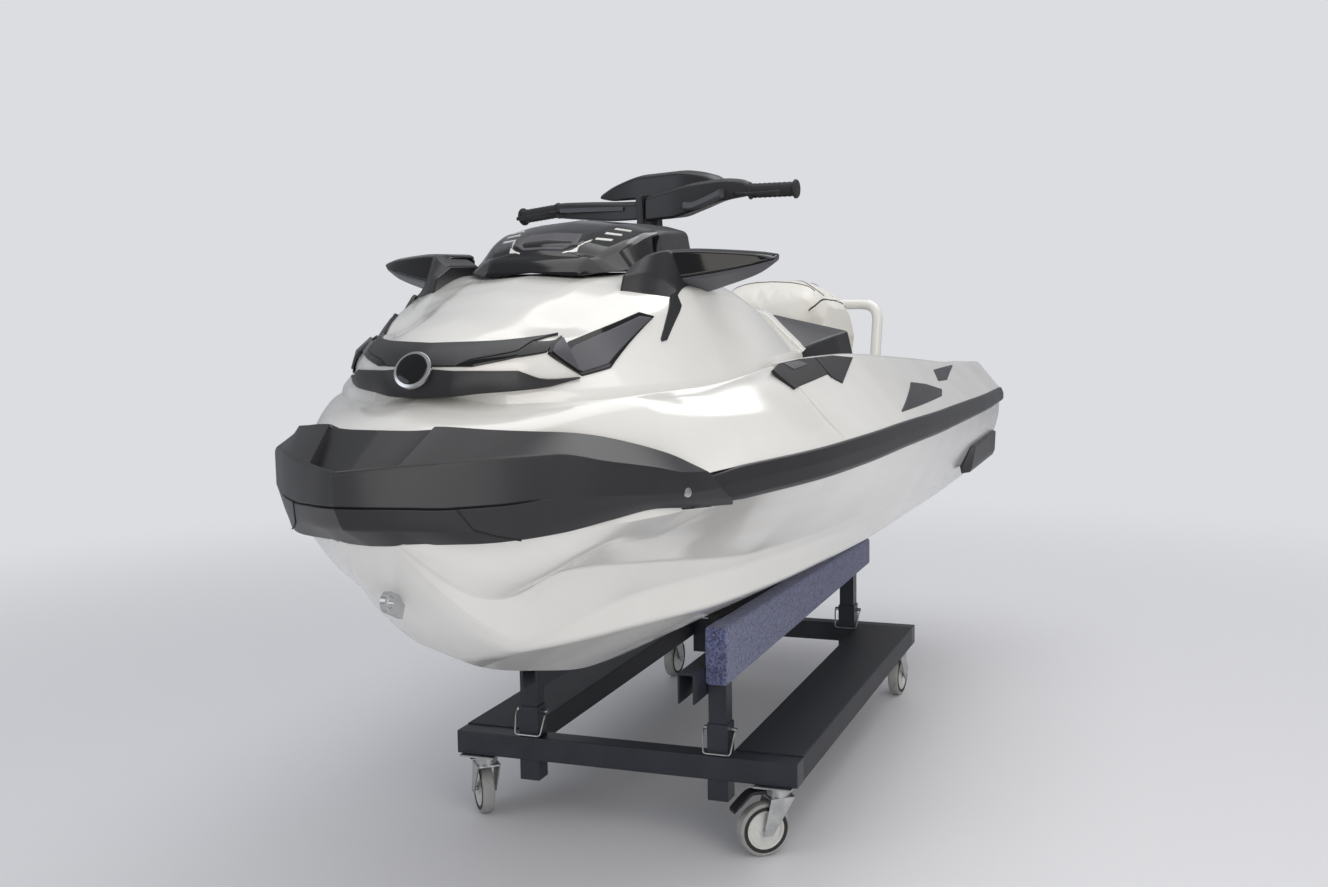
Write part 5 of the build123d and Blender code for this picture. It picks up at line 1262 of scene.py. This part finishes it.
# %% [markdown]
# The camera stands off the port bow at about chest height. Its place and turn were fitted to the
# photograph, and the lens is the one that gives the fitted field of view.

# %% Camera
CAMERA_PLACE = (3.7101, 1.290, 1.3356)
CAMERA_YAW = 200.263
CAMERA_PITCH = -6.492
CAMERA_ROLL = -0.0152
LENS_MM = 40.386

camera_data = bpy.data.cameras.new("camera")
camera_data.lens = LENS_MM
camera_data.sensor_width = 36.0
camera = linked("camera", camera_data)
yaw, pitch = math.radians(CAMERA_YAW), math.radians(CAMERA_PITCH)
forward = Vector((math.cos(pitch) * math.cos(yaw), math.cos(pitch) * math.sin(yaw), math.sin(pitch)))
level = forward.cross(Vector((0, 0, 1))).normalized()
upright = level.cross(forward)
right = math.cos(CAMERA_ROLL) * level + math.sin(CAMERA_ROLL) * upright
top = -math.sin(CAMERA_ROLL) * level + math.cos(CAMERA_ROLL) * upright
turn = Matrix((right, top, -forward)).transposed().to_4x4()
camera.matrix_world = Matrix.Translation(CAMERA_PLACE) @ turn
bpy.context.scene.camera = camera

# %% [markdown]
# The studio is a pale sweep: floor, curve and wall in one sheet, so no horizon line shows.
# Big soft lamps, all of them discs, give broad highlights on the gelcoat.

# %% Studio
FLOOR_HALF = 14.0
SWEEP_RADIUS = 4.0
SWEEP_X = -9.0
BACKDROP = "#dcdde1"

angle = np.linspace(0, math.pi / 2, 25)
profile_x = np.concatenate([[FLOOR_HALF], SWEEP_X - SWEEP_RADIUS * np.sin(angle), [SWEEP_X - SWEEP_RADIUS]])
profile_z = np.concatenate([[0.0], SWEEP_RADIUS * (1 - np.cos(angle)), [12.0]])
sides = np.array([-2 * FLOOR_HALF, 2 * FLOOR_HALF])
sheet = np.stack(np.broadcast_arrays(profile_x[:, None], sides[None, :], profile_z[:, None]), axis=-1)
floor = surface("studio_sweep", sheet / MM, ring=False, capped=False)
floor_material, floor_tree, floor_shader = shader_of("studio_floor", Roughness=0.5)
floor_shader.inputs["Base Color"].default_value = tone("#e2e2e5")
# Away from the craft, floor and wall fade to one pale tone, so that no lamp leaves a patch on them.
place = add(floor_tree, "TexCoord").outputs["Object"]
away = add(floor_tree, "VectorMath", {"operation": "LENGTH"}, {0: place}).outputs["Value"]
fade = add(floor_tree, "MapRange", {"From Min": 1.6, "From Max": 5.2, "interpolation_type": "SMOOTHSTEP"},
           {"Value": away})
seen = add(floor_tree, "LightPath").outputs["Is Camera Ray"]
share = add(floor_tree, "Math", {"operation": "MULTIPLY"}, {0: fade.outputs["Result"], 1: seen})
glow = add(floor_tree, "Emission", {"Color": tone(BACKDROP)})
blend = add(floor_tree, "MixShader", links={"Fac": share.outputs["Value"], 1: floor_shader.outputs["BSDF"],
                                            2: glow.outputs["Emission"]})
out = next(n for n in floor_tree.nodes if n.type == "OUTPUT_MATERIAL")
floor_tree.links.new(blend.outputs["Shader"], out.inputs["Surface"])
floor.data.materials.append(floor_material)

LAMPS = [  # name, place, aim, size, watts, colour
    ("key", (4.5, 5.0, 4.2), (0.3, 0, 0.8), 4.4, 104, "#fff8ee"),
    ("fill", (5.5, -4.5, 3.0), (0.3, 0, 0.8), 4.0, 60, "#eef4ff"),
    ("overhead", (-0.2, 0.5, 5.2), (0, 0, 0.6), 5.0, 92, "#ffffff"),
    ("low", (4.4, 3.6, 0.8), (0.7, 0.2, 0.7), 2.6, 42, "#ffffff"),
    ("rim", (-3.6, 1.6, 5.0), (0, 0, 0.9), 3.2, 60, "#ffffff"),
]
for name, place, aim, size, watts, colour in LAMPS:
    lamp = bpy.data.lights.new(name, "AREA")
    lamp.shape = "DISK"
    lamp.size = size
    lamp.energy = watts
    lamp.color = tone(colour)[:3]
    direction = Vector(aim) - Vector(place)
    turn = direction.to_track_quat("-Z", "Y").to_matrix().to_4x4()
    linked(name, lamp).matrix_world = Matrix.Translation(place) @ turn

world = bpy.data.worlds.new("studio")
bpy.context.scene.world = world
world.use_nodes = True
sky = next(n for n in world.node_tree.nodes if n.type == "BACKGROUND")
sky.inputs["Color"].default_value = tone("#eef0f4")
sky.inputs["Strength"].default_value = 0.5
# The camera alone sees past the floor's edge to the backdrop's own tone.
tree = world.node_tree
beyond = add(tree, "Background", {"Color": tone(BACKDROP)})
view = add(tree, "MixShader", links={"Fac": add(tree, "LightPath").outputs["Is Camera Ray"],
                                     1: sky.outputs["Background"], 2: beyond.outputs["Background"]})
out = next(n for n in tree.nodes if n.type == "OUTPUT_WORLD")
tree.links.new(view.outputs["Shader"], out.inputs["Surface"])
bpy.context.scene.view_settings.view_transform = "Standard"
